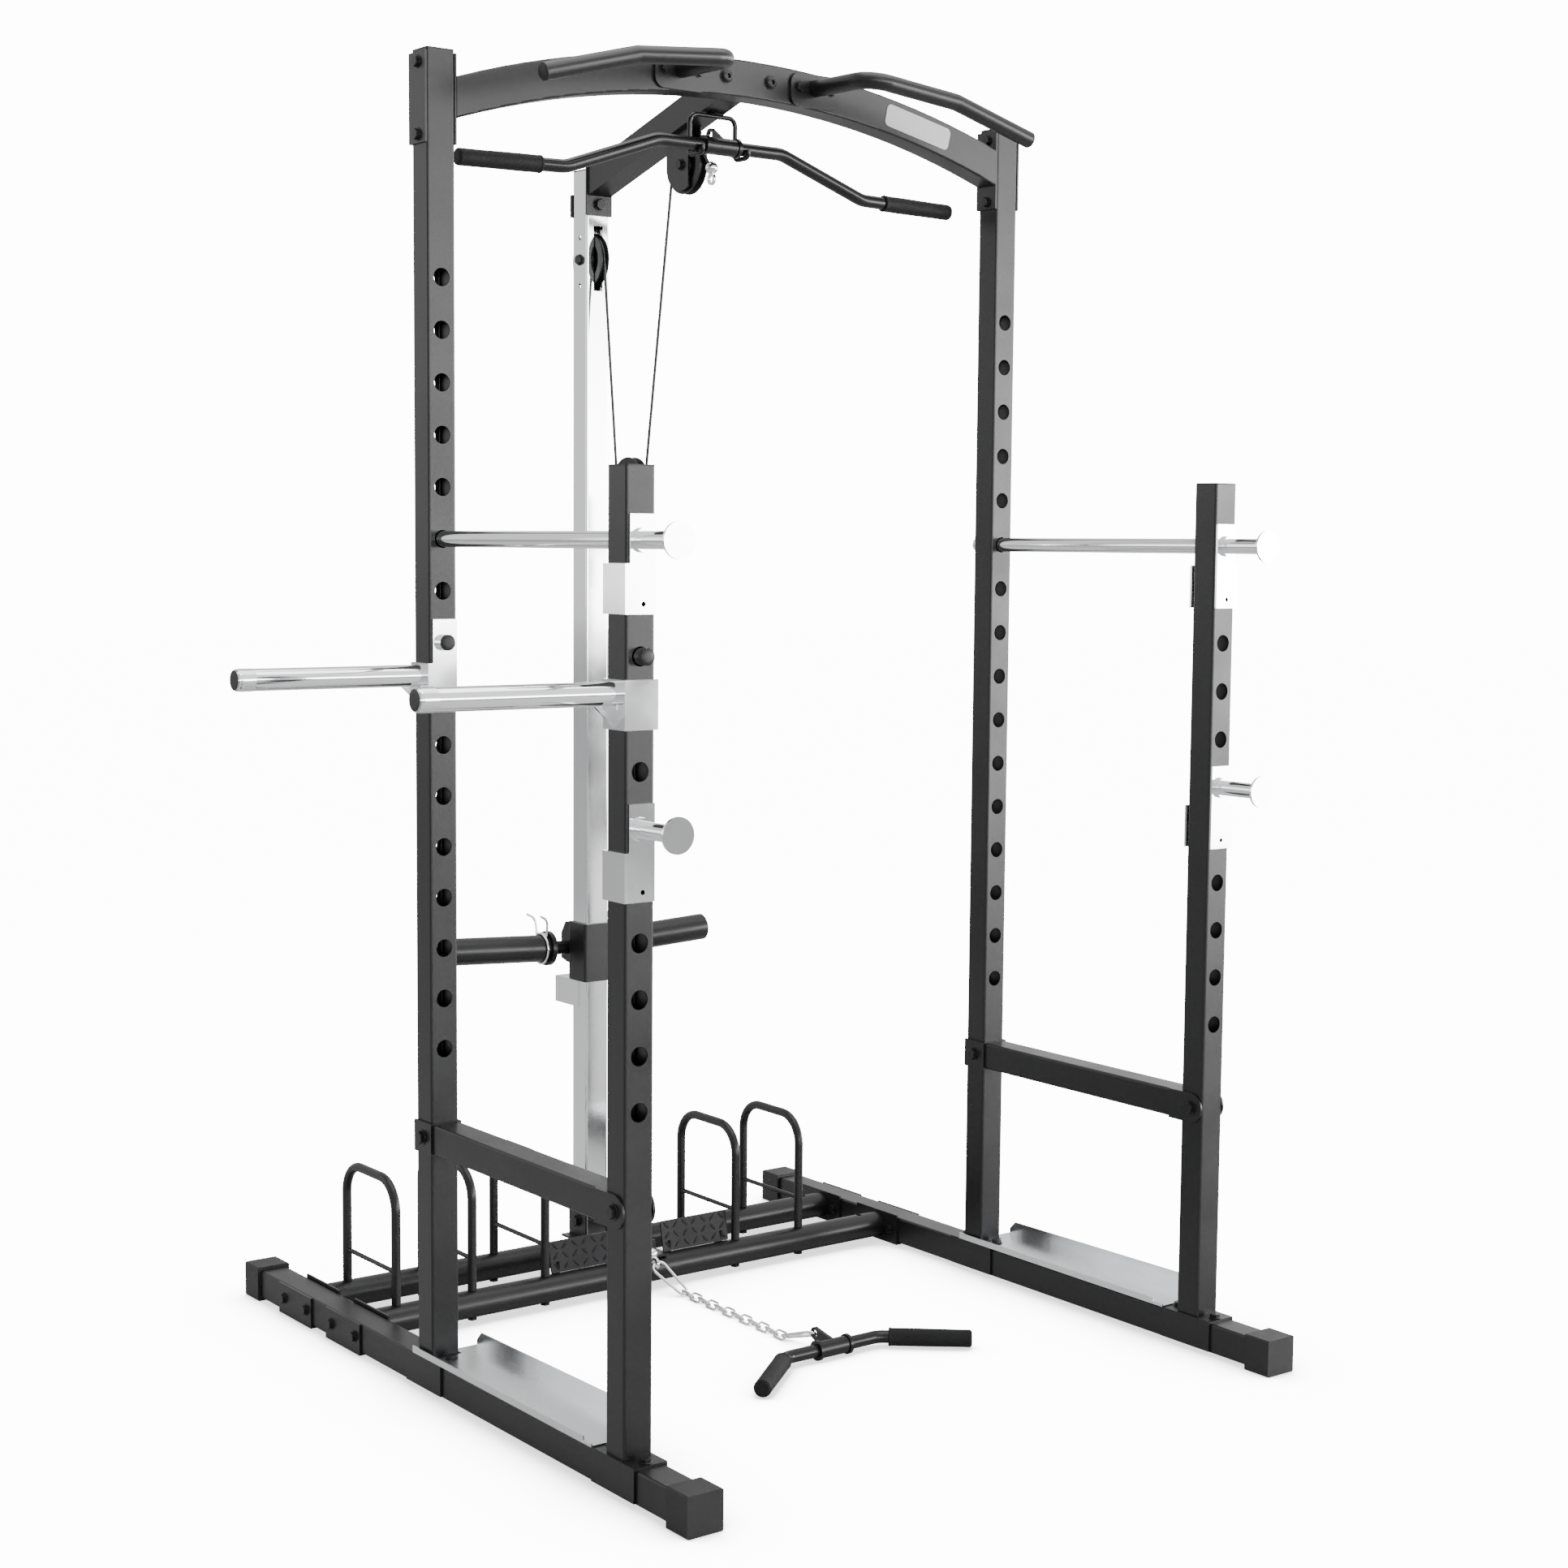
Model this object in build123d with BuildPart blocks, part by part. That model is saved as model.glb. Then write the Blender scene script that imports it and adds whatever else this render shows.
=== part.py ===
"""Power cage with lat tower: every tube, bracket, pulley, cable and handle as its own solid.

Millimetres, +Z up.  X runs across the cage from the left upright to the right one, and -Y is the
side that the lifter walks in from.  The origin is on the floor, on the mid-plane between the
uprights, under the centre line of the two rear uprights.
"""

from build123d import *
import math
import os

os.makedirs("parts", exist_ok=True)

# ---------------------------------------------------------------- driving dimensions
TUBE = 48.0                 # side of the uprights, side beams, lat beam and tower
WALL = 2.0                  # wall of the square tubes
CORNER = 4.0                # outside corner radius of the square tubes
PLATE = 3.5                 # bracket plate
HALF = TUBE / 2

UPRIGHT_X = 577.5           # centre of each upright from the mid-plane
FRONT_Y = -554.0            # centre line of the front uprights
REAR_TOP = 2100.0
FRONT_TOP = 1459.0

HOLE_PITCH = 80.0
HOLE_LOW = 558.0            # height of the lowest hole
HOLE_R = 14.0
REAR_HOLES = 16
FRONT_HOLES = 11

RAIL = 50.0                 # side of the base rails
RAIL_LOW = 5.5              # underside of the rail above the floor
RAIL_TOP = RAIL_LOW + RAIL
RAIL_MID = RAIL_LOW + RAIL / 2
RAIL_FRONT = -740.0
RAIL_REAR = 650.0
CAP_SIDE = RAIL + 2 * RAIL_LOW
CAP_DEPTH = 52.0
CAP_END = 5.0

FOOT_TOP = RAIL_TOP + PLATE
FOOT_HALF = 56.0            # half length of each upright's saddle
FOOT_BOLT = 42.0            # its bolts, from the upright's centre

BEAM_Z = 415.0              # centre of the side beams
EAR_R = 25.0

ARCH_TOP = 2153.0           # crown of the arched top beam
ARCH_R = 1732.0             # radius of its upper edge
ARCH_DEEP = 60.0            # height of its section
ARCH_HALF_Y = 25.0
ARCH_BRACKET_LOW = 1960.0
ARCH_BRACKET_TOP = 2097.0
ARCH_BOLTS_Z = (1973.0, 2082.0)
CROWN_BOLT_X = 45.0
CROWN_BOLT_Z = 2122.0

GRIP_R = 14.0               # pull-up bars
GRIP_ROOT_X = 137.0
GRIP_Y = -178.0
GUSSET_BOLT = 34.0

LAT_SLOPE = -0.2885         # fall of the lat beam towards the tower, mm per mm
LAT_TOP_AT_ARCH = 2146.2
LAT_VERTICAL = 50.0         # its section measured straight down
TOWER_Y = 460.0
TOWER_TOP = 2024.0

PULLEY_R = 49.0
GROOVE_R = 44.0             # radius of the cable's centre line on a pulley
PULLEY_W = 16.0
CHEEK_IN = 11.0
CHEEK = 3.0
SHROUD_R = 44.0             # rounded cheeks over the front pulley
CABLE_R = 2.5
FRONT_PULLEY = (152.0, 2002.0)      # each pulley's centre: Y, Z
REAR_PULLEY = (TOWER_Y, 1866.0)
BLOCK_PULLEY = (326.0, 1459.0)
LOW_PULLEY = (314.0, 112.0)
LAT_END = (80.0, 1990.0)            # ball on the lat end of the cable: Y, Z
BALL_R = 11.0
BLOCK_ANCHOR_Z = 1384.0

STORE_R = 24.0              # crosswise storage tubes
STORE_Z = 31.5
STORE_FRONT_Y = 280.0
STORE_REAR_Y = TOWER_Y
STORE_BOLT = 42.0
LOOP_R = 8.0
LOOP_TOP = 276.0
LOOP_BEND = 52.0
LOOP_WIRE_Z = 112.0
LOOP_X = (-504.0, -356.0, -208.0, 208.0, 356.0)
SPARE_LOOP_X = 504.0

BAR_Y = 55.0                # lat bar on its hooks
BAR_Z = 2022.0
BAR_R = 11.0
HOOK_X = 47.0
HOOK_WIRE = 4.0

CARRIAGE_LOW = 537.0
CARRIAGE_TOP = 652.0
HORN_Y = 508.0
HORN_Z = 598.0
HORN_R = 25.0
HORN_TILT = 3.0             # degrees up towards the tip
HORN_END = 284.0
HORN_ROOT = 16.8
HORN_NECK_R = 12.5
COLLAR_AT = 60.0
COLLAR_THICK = 9.0
COLLAR_R = 32.0
CLIP_AT = 74.0

PEG_R = 12.5
CATCH_GAP = 0.3             # running gap of a catch round its upright
CATCH_PLATE = 4.0
CATCH_UP = 36.0             # plate above and below its peg
CATCH_DOWN = 102.0
CATCH_WRAP = 32.0           # top of the wrap, below the peg
DISC_R = 26.0
PEG_OUT = 95.0
SAFETY_HOLE = 10
LOWER_CATCH_HOLE = 5
DIP_HOLE = 8
DIP_R = 17.0
DIP_DROP = 52.0             # dip bar below its peg
DIP_END_X = -912.0
DIP_CAP = 3.4               # plug standing proud of the dip bar's end

ROW_X = 34.0                # low row bar on the floor
ROW_Y = -241.0
ROW_Z = 17.0
ROW_GRIP_R = 15.5
CHAIN_LINKS = 12
LINK_PITCH = 26.0
LINK_WIRE = 2.0
LINK_HALF_W = 7.0
CHAIN_Z = 7.0

made = []


def keep(name, part):
    """Label a finished piece and write it under its own name."""
    part.label = name
    export_step(part, f"parts/{name}.step")
    made.append(name)


def hole_z(index):
    """Height of a numbered hole, counted from the lowest."""
    return HOLE_LOW + index * HOLE_PITCH


# ---------------------------------------------------------------- shapes used again and again
def block(x0, x1, y0, y1, z0, z1, mode=Mode.ADD):
    """A box given by its two corners."""
    with Locations(((x0 + x1) / 2, (y0 + y1) / 2, (z0 + z1) / 2)):
        Box(abs(x1 - x0), abs(y1 - y0), abs(z1 - z0), mode=mode)


def rod(start, end, radius, mode=Mode.ADD):
    """A round rod from one point to another."""
    run = Vector(*end) - Vector(*start)
    with BuildSketch(Plane(origin=start, z_dir=run.normalized())) as disc:
        Circle(radius)
    extrude(disc.sketch, amount=run.length, mode=mode)


def square_section(side, wall):
    """Cross-section of a square tube with rounded corners."""
    RectangleRounded(side, side, CORNER)
    RectangleRounded(side - 2 * wall, side - 2 * wall, CORNER - wall, mode=Mode.SUBTRACT)


def bent_rod(points, radius, bend, bore=0.0):
    """A round rod or tube along straight runs joined by bends."""
    with BuildLine() as run:
        FilletPolyline(*points, radius=bend)
    with BuildSketch(Plane(origin=run.line @ 0, z_dir=run.line % 0)) as section:
        Circle(radius)
        if bore:
            Circle(bore, mode=Mode.SUBTRACT)
    sweep(section.sketch, path=run.line)


def channel(plane, width, height, thickness, length):
    """A U of plate: width and height outside, open along the plane's +Y, carried along its normal."""
    with BuildSketch(plane) as profile:
        with Locations((0, height / 2)):
            Rectangle(width, height)
        with Locations((0, height / 2 + thickness)):
            Rectangle(width - 2 * thickness, height, mode=Mode.SUBTRACT)
    extrude(profile.sketch, amount=length)


# ---------------------------------------------------------------- bolts, and the holes they need
class Bolt:
    """A through bolt with its head at `at`, its shank along `along` for `grip`, and its nut there."""

    def __init__(self, at, along, grip, shank=5.0, socket=False):
        self.at = Vector(*at)
        self.along = Vector(*along)
        self.grip = grip
        self.shank = shank
        self.socket = socket

    def draw(self):
        """Head, shank and nut as one solid."""
        head = 1.7 * self.shank
        depth = 1.3 * self.shank
        with BuildSketch(Plane(origin=self.at, z_dir=self.along * -1)) as head_outline:
            if self.socket:
                Circle(head)
            else:
                RegularPolygon(head, 6)
        extrude(head_outline.sketch, amount=depth)
        end = self.at + self.along * self.grip
        rod(self.at, end, self.shank)
        with BuildSketch(Plane(origin=end, z_dir=self.along)) as nut_outline:
            RegularPolygon(head, 6)
        extrude(nut_outline.sketch, amount=depth)

    def drill(self):
        """Clearance hole for the shank in the active part."""
        slack = self.along * 0.5
        rod(self.at - slack, self.at + self.along * self.grip + slack, self.shank + 0.4, Mode.SUBTRACT)

    def crosses(self, box):
        """True when the shank runs through this bounding box."""
        end = self.at + self.along * self.grip
        low = (min(self.at.X, end.X), min(self.at.Y, end.Y), min(self.at.Z, end.Z))
        high = (max(self.at.X, end.X), max(self.at.Y, end.Y), max(self.at.Z, end.Z))
        box_low = (box.min.X, box.min.Y, box.min.Z)
        box_high = (box.max.X, box.max.Y, box.max.Z)
        return all(low[i] - 1 < box_high[i] and high[i] + 1 > box_low[i] for i in range(3))


frame_bolts = []
for side in (-1, 1):
    for y in (0.0, FRONT_Y):
        for step in (-FOOT_BOLT, FOOT_BOLT):
            tray_here = y == 0.0 and step < 0
            top = FOOT_TOP + (2.0 if tray_here else 0.0)
            frame_bolts.append(Bolt((side * UPRIGHT_X, y + step, top), (0, 0, -1), top - RAIL_TOP + 2.5))
    outer = side * (UPRIGHT_X + HALF + PLATE)
    for z in ARCH_BOLTS_Z:
        frame_bolts.append(Bolt((outer, 0, z), (-side, 0, 0), TUBE + 2 * PLATE))
    for y in (0.0, FRONT_Y):
        frame_bolts.append(Bolt((outer, y, BEAM_Z), (-side, 0, 0), TUBE + 2 * PLATE, 6.0))
    clamp = side * (UPRIGHT_X + RAIL / 2 + PLATE)
    for y in (STORE_FRONT_Y, STORE_REAR_Y):
        for step in (-STORE_BOLT, STORE_BOLT):
            frame_bolts.append(Bolt((clamp, y + step, RAIL_MID), (-side, 0, 0), RAIL + 2 * PLATE))
for x in (-CROWN_BOLT_X, CROWN_BOLT_X):
    frame_bolts.append(Bolt((x, -ARCH_HALF_Y, CROWN_BOLT_Z), (0, 1, 0), 2 * ARCH_HALF_Y + 4, 6.0, True))
for side in (-1, 1):
    for step in (-GUSSET_BOLT, GUSSET_BOLT):
        at = (side * GRIP_ROOT_X + step, -ARCH_HALF_Y - 5, CROWN_BOLT_Z)
        frame_bolts.append(Bolt(at, (0, 1, 0), 2 * ARCH_HALF_Y + 5))
frame_bolts.append(Bolt((0, TOWER_Y - HALF - 4, 1964), (0, 1, 0), TUBE + 8, 6.0))
frame_bolts.append(Bolt((-HALF - 4, TOWER_Y, 88), (1, 0, 0), TUBE + 8, 6.0))

pulley_bolts = [
    Bolt((-CHEEK_IN - CHEEK, *FRONT_PULLEY), (1, 0, 0), 2 * (CHEEK_IN + CHEEK)),
    Bolt((-HALF, *REAR_PULLEY), (1, 0, 0), TUBE),
    Bolt((-CHEEK_IN - CHEEK, *LOW_PULLEY), (1, 0, 0), 2 * (CHEEK_IN + CHEEK)),
]


def drill_bolts(part):
    """Cut every bolt's clearance hole that reaches the active part."""
    box = part.part.bounding_box()
    for bolt in frame_bolts + pulley_bolts:
        if bolt.crosses(box):
            bolt.drill()


# ---------------------------------------------------------------- base rails and their caps
def base_rail(name, x):
    """One of the two rails that lie front to back on the floor."""
    with BuildPart() as rail:
        with BuildSketch(Plane(origin=(x, RAIL_FRONT, RAIL_MID), x_dir=(1, 0, 0), z_dir=(0, 1, 0))):
            square_section(RAIL, 2.5)
        extrude(amount=RAIL_REAR - RAIL_FRONT)
        drill_bolts(rail)
    keep(name, rail.part)


base_rail("base_rail_left", -UPRIGHT_X)
base_rail("base_rail_right", UPRIGHT_X)

with BuildPart() as end_caps:
    for x in (-UPRIGHT_X, UPRIGHT_X):
        for end, way in ((RAIL_FRONT, -1), (RAIL_REAR, 1)):
            shell_side = CAP_SIDE / 2
            start = Plane(origin=(x, end + way * CAP_END, CAP_SIDE / 2), z_dir=(0, -way, 0))
            with BuildSketch(start):
                RectangleRounded(CAP_SIDE, CAP_SIDE, 3)
            extrude(amount=CAP_DEPTH)
            with BuildSketch(start.offset(CAP_END)):
                RectangleRounded(RAIL, RAIL, CORNER)
            extrude(amount=CAP_DEPTH, mode=Mode.SUBTRACT)
keep("end_caps", end_caps.part)


# ---------------------------------------------------------------- uprights
def upright(name, x, y, top, holes):
    """A square post with its row of holes, and the saddle under it that drops over the rail."""
    with BuildPart() as post:
        with BuildSketch(Plane(origin=(x, y, FOOT_TOP))):
            square_section(TUBE, WALL)
        extrude(amount=top - FOOT_TOP)
        front = Plane(origin=(x, y, 0), x_dir=(1, 0, 0), z_dir=(0, -1, 0))
        with BuildSketch(front):
            with Locations(*[(0, hole_z(index)) for index in range(holes)]):
                Circle(HOLE_R)
        extrude(amount=TUBE, both=True, mode=Mode.SUBTRACT)
        drill_bolts(post)
    with BuildPart() as saddle:
        over_rail = Plane(origin=(x, y - FOOT_HALF, FOOT_TOP), x_dir=(1, 0, 0), z_dir=(0, 1, 0))
        channel(over_rail, RAIL + 2 * PLATE, RAIL + 1, PLATE, 2 * FOOT_HALF)
        drill_bolts(saddle)
    keep(name, Compound(children=[post.part, saddle.part]))


upright("rear_upright_left", -UPRIGHT_X, 0.0, REAR_TOP, REAR_HOLES)
upright("rear_upright_right", UPRIGHT_X, 0.0, REAR_TOP, REAR_HOLES)
upright("front_upright_left", -UPRIGHT_X, FRONT_Y, FRONT_TOP, FRONT_HOLES)
upright("front_upright_right", UPRIGHT_X, FRONT_Y, FRONT_TOP, FRONT_HOLES)

with BuildPart() as tube_plugs:
    tops = [(side * UPRIGHT_X, 0.0, REAR_TOP) for side in (-1, 1)]
    tops += [(side * UPRIGHT_X, FRONT_Y, FRONT_TOP) for side in (-1, 1)]
    tops.append((0.0, TOWER_Y, TOWER_TOP))
    for spot in tops:
        with BuildSketch(Plane(origin=spot)):
            RectangleRounded(TUBE, TUBE, CORNER)
        extrude(amount=2.5)
        with BuildSketch(Plane(origin=spot)):
            RectangleRounded(TUBE - 2 * WALL - 0.4, TUBE - 2 * WALL - 0.4, CORNER - WALL)
        extrude(amount=-12)
keep("tube_plugs", tube_plugs.part)


# ---------------------------------------------------------------- side beams
def side_beam(name, x):
    """Beam between the uprights of one side: a U round the rear post, two ears on the front one."""
    rear_face = -HALF - PLATE
    front_face = FRONT_Y + HALF
    with BuildPart() as beam:
        with BuildSketch(Plane(origin=(x, rear_face, BEAM_Z), x_dir=(1, 0, 0), z_dir=(0, -1, 0))):
            square_section(TUBE, WALL)
        extrude(amount=rear_face - front_face - 1)
        block(x - HALF - PLATE, x + HALF + PLATE, rear_face, HALF + 2, BEAM_Z - EAR_R, BEAM_Z + EAR_R)
        block(x - HALF, x + HALF, -HALF, HALF + 3, BEAM_Z - 40, BEAM_Z + 40, Mode.SUBTRACT)
        for side in (-1, 1):
            inner = Plane(origin=(x + side * HALF, FRONT_Y, BEAM_Z), x_dir=(0, 1, 0), z_dir=(side, 0, 0))
            with BuildSketch(inner):
                Circle(EAR_R)
                with Locations((EAR_R, 0)):
                    Rectangle(2 * EAR_R, 2 * EAR_R)
            extrude(amount=PLATE)
        drill_bolts(beam)
    keep(name, beam.part)


side_beam("side_beam_left", -UPRIGHT_X)
side_beam("side_beam_right", UPRIGHT_X)


# ---------------------------------------------------------------- arched top beam
def arch_outline(outer, inner, half_span):
    """Sector between two circles about the arch's centre, cut off upright at both ends."""
    centre_z = ARCH_TOP - ARCH_R

    def on(radius, x):
        return (x, centre_z + math.sqrt(radius**2 - x**2))

    with BuildLine() as outline:
        ThreePointArc(on(outer, -half_span), on(outer, 0), on(outer, half_span))
        Line(on(outer, half_span), on(inner, half_span))
        ThreePointArc(on(inner, half_span), on(inner, 0), on(inner, -half_span))
        Line(on(inner, -half_span), on(outer, -half_span))
    make_face(outline.edges())


with BuildPart() as arch_beam:
    arch_end = UPRIGHT_X - HALF - PLATE
    arch_front = Plane(origin=(0, -ARCH_HALF_Y, 0), x_dir=(1, 0, 0), z_dir=(0, -1, 0))
    with BuildSketch(arch_front):
        arch_outline(ARCH_R, ARCH_R - ARCH_DEEP, arch_end)
    extrude(amount=-2 * ARCH_HALF_Y)
    fillet(arch_beam.edges().filter_by(GeomType.CIRCLE), 3)
    with BuildSketch(arch_front.offset(-2.5)):
        arch_outline(ARCH_R - 2.5, ARCH_R - ARCH_DEEP + 2.5, arch_end + 1)
    extrude(amount=-2 * ARCH_HALF_Y + 5, mode=Mode.SUBTRACT)
    for side in (-1, 1):
        x = side * UPRIGHT_X
        wrap = HALF + PLATE
        block(x - wrap, x + wrap, -HALF, wrap, ARCH_BRACKET_LOW, ARCH_BRACKET_TOP)
        block(x - HALF, x + HALF, -HALF - 1, HALF, ARCH_BRACKET_LOW - 1, ARCH_BRACKET_TOP + 1, Mode.SUBTRACT)
    drill_bolts(arch_beam)
keep("arch_beam", arch_beam.part)

badge_x = 366.0
badge_angle = math.asin(badge_x / ARCH_R)
badge_z = ARCH_TOP - ARCH_R + math.sqrt((ARCH_R - ARCH_DEEP / 2) ** 2 - badge_x**2)
with BuildPart() as badge_plate:
    along_arch = (math.cos(badge_angle), 0, -math.sin(badge_angle))
    with BuildSketch(Plane(origin=(badge_x, -ARCH_HALF_Y, badge_z), x_dir=along_arch, z_dir=(0, -1, 0))):
        RectangleRounded(146, 38, 9)
    extrude(amount=1.2)
keep("badge_plate", badge_plate.part)


# ---------------------------------------------------------------- pull-up bars
def pull_up_bar(name, side):
    """Round bar that comes forward from the arch, turns outwards and falls away to its grip."""
    root = (side * GRIP_ROOT_X, -ARCH_HALF_Y - 5, CROWN_BOLT_Z)
    path = [
        root,
        (side * GRIP_ROOT_X, GRIP_Y, CROWN_BOLT_Z - 3),
        (side * 322, GRIP_Y, 2101),
        (side * 488, GRIP_Y, 2056),
    ]
    with BuildPart() as bar:
        bent_rod(path, GRIP_R, 38, GRIP_R - 2)
        gusset = Plane(origin=root, x_dir=(1, 0, 0), z_dir=(0, 1, 0))
        with BuildSketch(gusset):
            with Locations((0, 5)):
                RectangleRounded(104, 56, 18)
        extrude(amount=5)
        drill_bolts(bar)
    keep(name, bar.part)


pull_up_bar("pull_up_bar_left", -1)
pull_up_bar("pull_up_bar_right", 1)


# ---------------------------------------------------------------- lat beam, its pulley and its hooks
def lat_top(y):
    """Height of the lat beam's upper edge."""
    return LAT_TOP_AT_ARCH + LAT_SLOPE * (y - ARCH_HALF_Y)


def lat_bottom(y):
    """Height of the lat beam's lower edge."""
    return lat_top(y) - LAT_VERTICAL


with BuildPart() as lat_beam:
    lat_front = ARCH_HALF_Y + 4
    lat_rear = TOWER_Y - HALF - 4
    for inset, mode in ((0.0, Mode.ADD), (WALL, Mode.SUBTRACT)):
        with BuildSketch(Plane.YZ.offset(-HALF + inset)):
            Polygon(
                (lat_front, lat_bottom(lat_front) + inset),
                (lat_rear, lat_bottom(lat_rear) + inset),
                (lat_rear, lat_top(lat_rear) - inset),
                (lat_front, lat_top(lat_front) - inset),
                align=None,
            )
        extrude(amount=TUBE - 2 * inset, mode=mode)
    block(-62, 62, ARCH_HALF_Y, lat_front, 2096, 2149)
    block(-27, 27, lat_rear, lat_rear + 4, 1944, lat_top(lat_rear) + 1)
    pulley_y, pulley_z = FRONT_PULLEY
    for start in (-CHEEK_IN - CHEEK, CHEEK_IN):
        with BuildSketch(Plane.YZ.offset(start)):
            with BuildLine():
                rim = [
                    (pulley_y + SHROUD_R * math.cos(turn), pulley_z + SHROUD_R * math.sin(turn))
                    for turn in (0.0, math.radians(-60), math.radians(-120))
                ]
                ThreePointArc(*rim)
                Polyline(
                    rim[2],
                    (rim[2][0], lat_bottom(rim[2][0])),
                    (rim[0][0], lat_bottom(rim[0][0])),
                    rim[0],
                )
            make_face()
        extrude(amount=CHEEK)
    block(-27, 27, TOWER_Y + HALF, TOWER_Y + HALF + 4, 1944, 1984)
    drill_bolts(lat_beam)
keep("lat_beam", lat_beam.part)

with BuildPart() as lat_bar_hooks:
    wire_y = BAR_Y + 23
    under = BAR_Z - BAR_R - HOOK_WIRE - 0.6
    lip_y = BAR_Y - BAR_R - HOOK_WIRE - 1
    top_z = lat_bottom(wire_y + HOOK_WIRE) - HOOK_WIRE - 0.2
    route = [
        (-HOOK_X, lip_y, BAR_Z - 2),
        (-HOOK_X, lip_y, under),
        (-HOOK_X, wire_y, under),
        (-HOOK_X, wire_y, top_z),
        (HOOK_X, wire_y, top_z),
        (HOOK_X, wire_y, under),
        (HOOK_X, lip_y, under),
        (HOOK_X, lip_y, BAR_Z - 2),
    ]
    bent_rod(route, HOOK_WIRE, [9, 9, 14, 14, 9, 9])
    block(-9, 9, wire_y - 9, wire_y + 9, top_z + HOOK_WIRE - 1.5, lat_bottom(wire_y + 9))
keep("lat_bar_hooks", lat_bar_hooks.part)

# ---------------------------------------------------------------- lat tower and its foot
TOWER_FOOT_Z = STORE_Z + STORE_R + 4

with BuildPart() as lat_tower:
    with BuildSketch(Plane(origin=(0, TOWER_Y, TOWER_FOOT_Z))):
        square_section(TUBE, WALL)
    extrude(amount=TOWER_TOP - TOWER_FOOT_Z)
    rear_y, rear_z = REAR_PULLEY
    block(-9.5, 9.5, TOWER_Y - TUBE, TOWER_Y + TUBE, rear_z - 56, rear_z + 60, Mode.SUBTRACT)
    for z in (1905, 1820):
        rod((-HALF - 1, TOWER_Y, z + 0.0), (-HALF + WALL + 1, TOWER_Y, z), 4, Mode.SUBTRACT)
    drill_bolts(lat_tower)
keep("lat_tower", lat_tower.part)

with BuildPart() as bridge_plate:
    deck = STORE_Z + STORE_R
    block(-45, 45, STORE_FRONT_Y - 18, STORE_REAR_Y + 28, deck, deck + 4)
    for side in (-1, 1):
        low, high = sorted((side * HALF, side * (HALF + 4)))
        block(low, high, TOWER_Y - 28, TOWER_Y + 28, deck + 4, deck + 62)
        low, high = sorted((side * CHEEK_IN, side * (CHEEK_IN + CHEEK)))
        with BuildSketch(Plane.YZ.offset(low)):
            with Locations((LOW_PULLEY[0], (deck + 4 + LOW_PULLEY[1]) / 2)):
                Rectangle(34, LOW_PULLEY[1] - deck - 4)
            with Locations(LOW_PULLEY):
                Circle(17)
        extrude(amount=CHEEK)
    guide_y = STORE_FRONT_Y - 18
    block(-16, 16, guide_y, guide_y + 4, deck + 4, deck + 34)
    hole_height = LOW_PULLEY[1] - GROOVE_R
    rod((0, guide_y - 1, hole_height), (0, guide_y + 5, hole_height), 4.5, Mode.SUBTRACT)
    drill_bolts(bridge_plate)
keep("bridge_plate", bridge_plate.part)

with BuildPart() as carriage_stop:
    stop_top = CARRIAGE_LOW + 6
    rear = TOWER_Y + HALF + 55
    for side in (-1, 1):
        low, high = sorted((side * HALF, side * (HALF + 3)))
        block(low, high, TOWER_Y, rear, stop_top - 49, stop_top)
    block(-HALF, HALF, TOWER_Y + HALF, rear, stop_top - 3, stop_top)
    block(-HALF, HALF, rear - 3, rear, stop_top - 49, stop_top - 3)
keep("carriage_stop", carriage_stop.part)


# ---------------------------------------------------------------- storage tubes, loops and foot plates
with BuildPart() as storage_tubes:
    inner_face = UPRIGHT_X - RAIL / 2 - PLATE
    for y in (STORE_FRONT_Y, STORE_REAR_Y):
        with BuildSketch(Plane(origin=(-inner_face, y, STORE_Z), z_dir=(1, 0, 0))):
            Circle(STORE_R)
            Circle(STORE_R - 2, mode=Mode.SUBTRACT)
        extrude(amount=2 * inner_face)
        for side in (-1, 1):
            cradle = Plane(
                origin=(side * UPRIGHT_X, y + 62, RAIL_LOW - PLATE), x_dir=(1, 0, 0), z_dir=(0, -1, 0)
            )
            channel(cradle, RAIL + 2 * PLATE, RAIL + PLATE, PLATE, 124)
            edge, face = sorted((side * inner_face, side * (inner_face + PLATE)))
            block(edge, face, y - 62, y + 62, RAIL_TOP, RAIL_TOP + 5)
        for x in LOOP_X + (SPARE_LOOP_X,):
            rod((x, y, STORE_Z - STORE_R - 1), (x, y, STORE_Z + STORE_R + 1), 5.2, Mode.SUBTRACT)
    drill_bolts(storage_tubes)
keep("storage_tubes", storage_tubes.part)


def plate_loops(name, places):
    """Upside-down Us that weight plates lean in, each with a cross wire and a nut below each tube."""
    foot = STORE_Z + STORE_R
    with BuildPart() as loops:
        for x in places:
            route = [
                (x, STORE_FRONT_Y, foot),
                (x, STORE_FRONT_Y, LOOP_TOP - LOOP_R),
                (x, STORE_REAR_Y, LOOP_TOP - LOOP_R),
                (x, STORE_REAR_Y, foot),
            ]
            bent_rod(route, LOOP_R, LOOP_BEND)
            rod((x, STORE_FRONT_Y, LOOP_WIRE_Z), (x, STORE_REAR_Y, LOOP_WIRE_Z), 4)
            for y in (STORE_FRONT_Y, STORE_REAR_Y):
                nut_top = STORE_Z - STORE_R
                rod((x, y, foot), (x, y, nut_top - 4), 4.8)
                with BuildSketch(Plane(origin=(x, y, nut_top - 4))) as nut:
                    RegularPolygon(9, 6)
                extrude(nut.sketch, amount=4)
    keep(name, loops.part)


plate_loops("plate_loops_left", [x for x in LOOP_X if x < 0])
plate_loops("plate_loops_right", [x for x in LOOP_X if x > 0])

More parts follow.
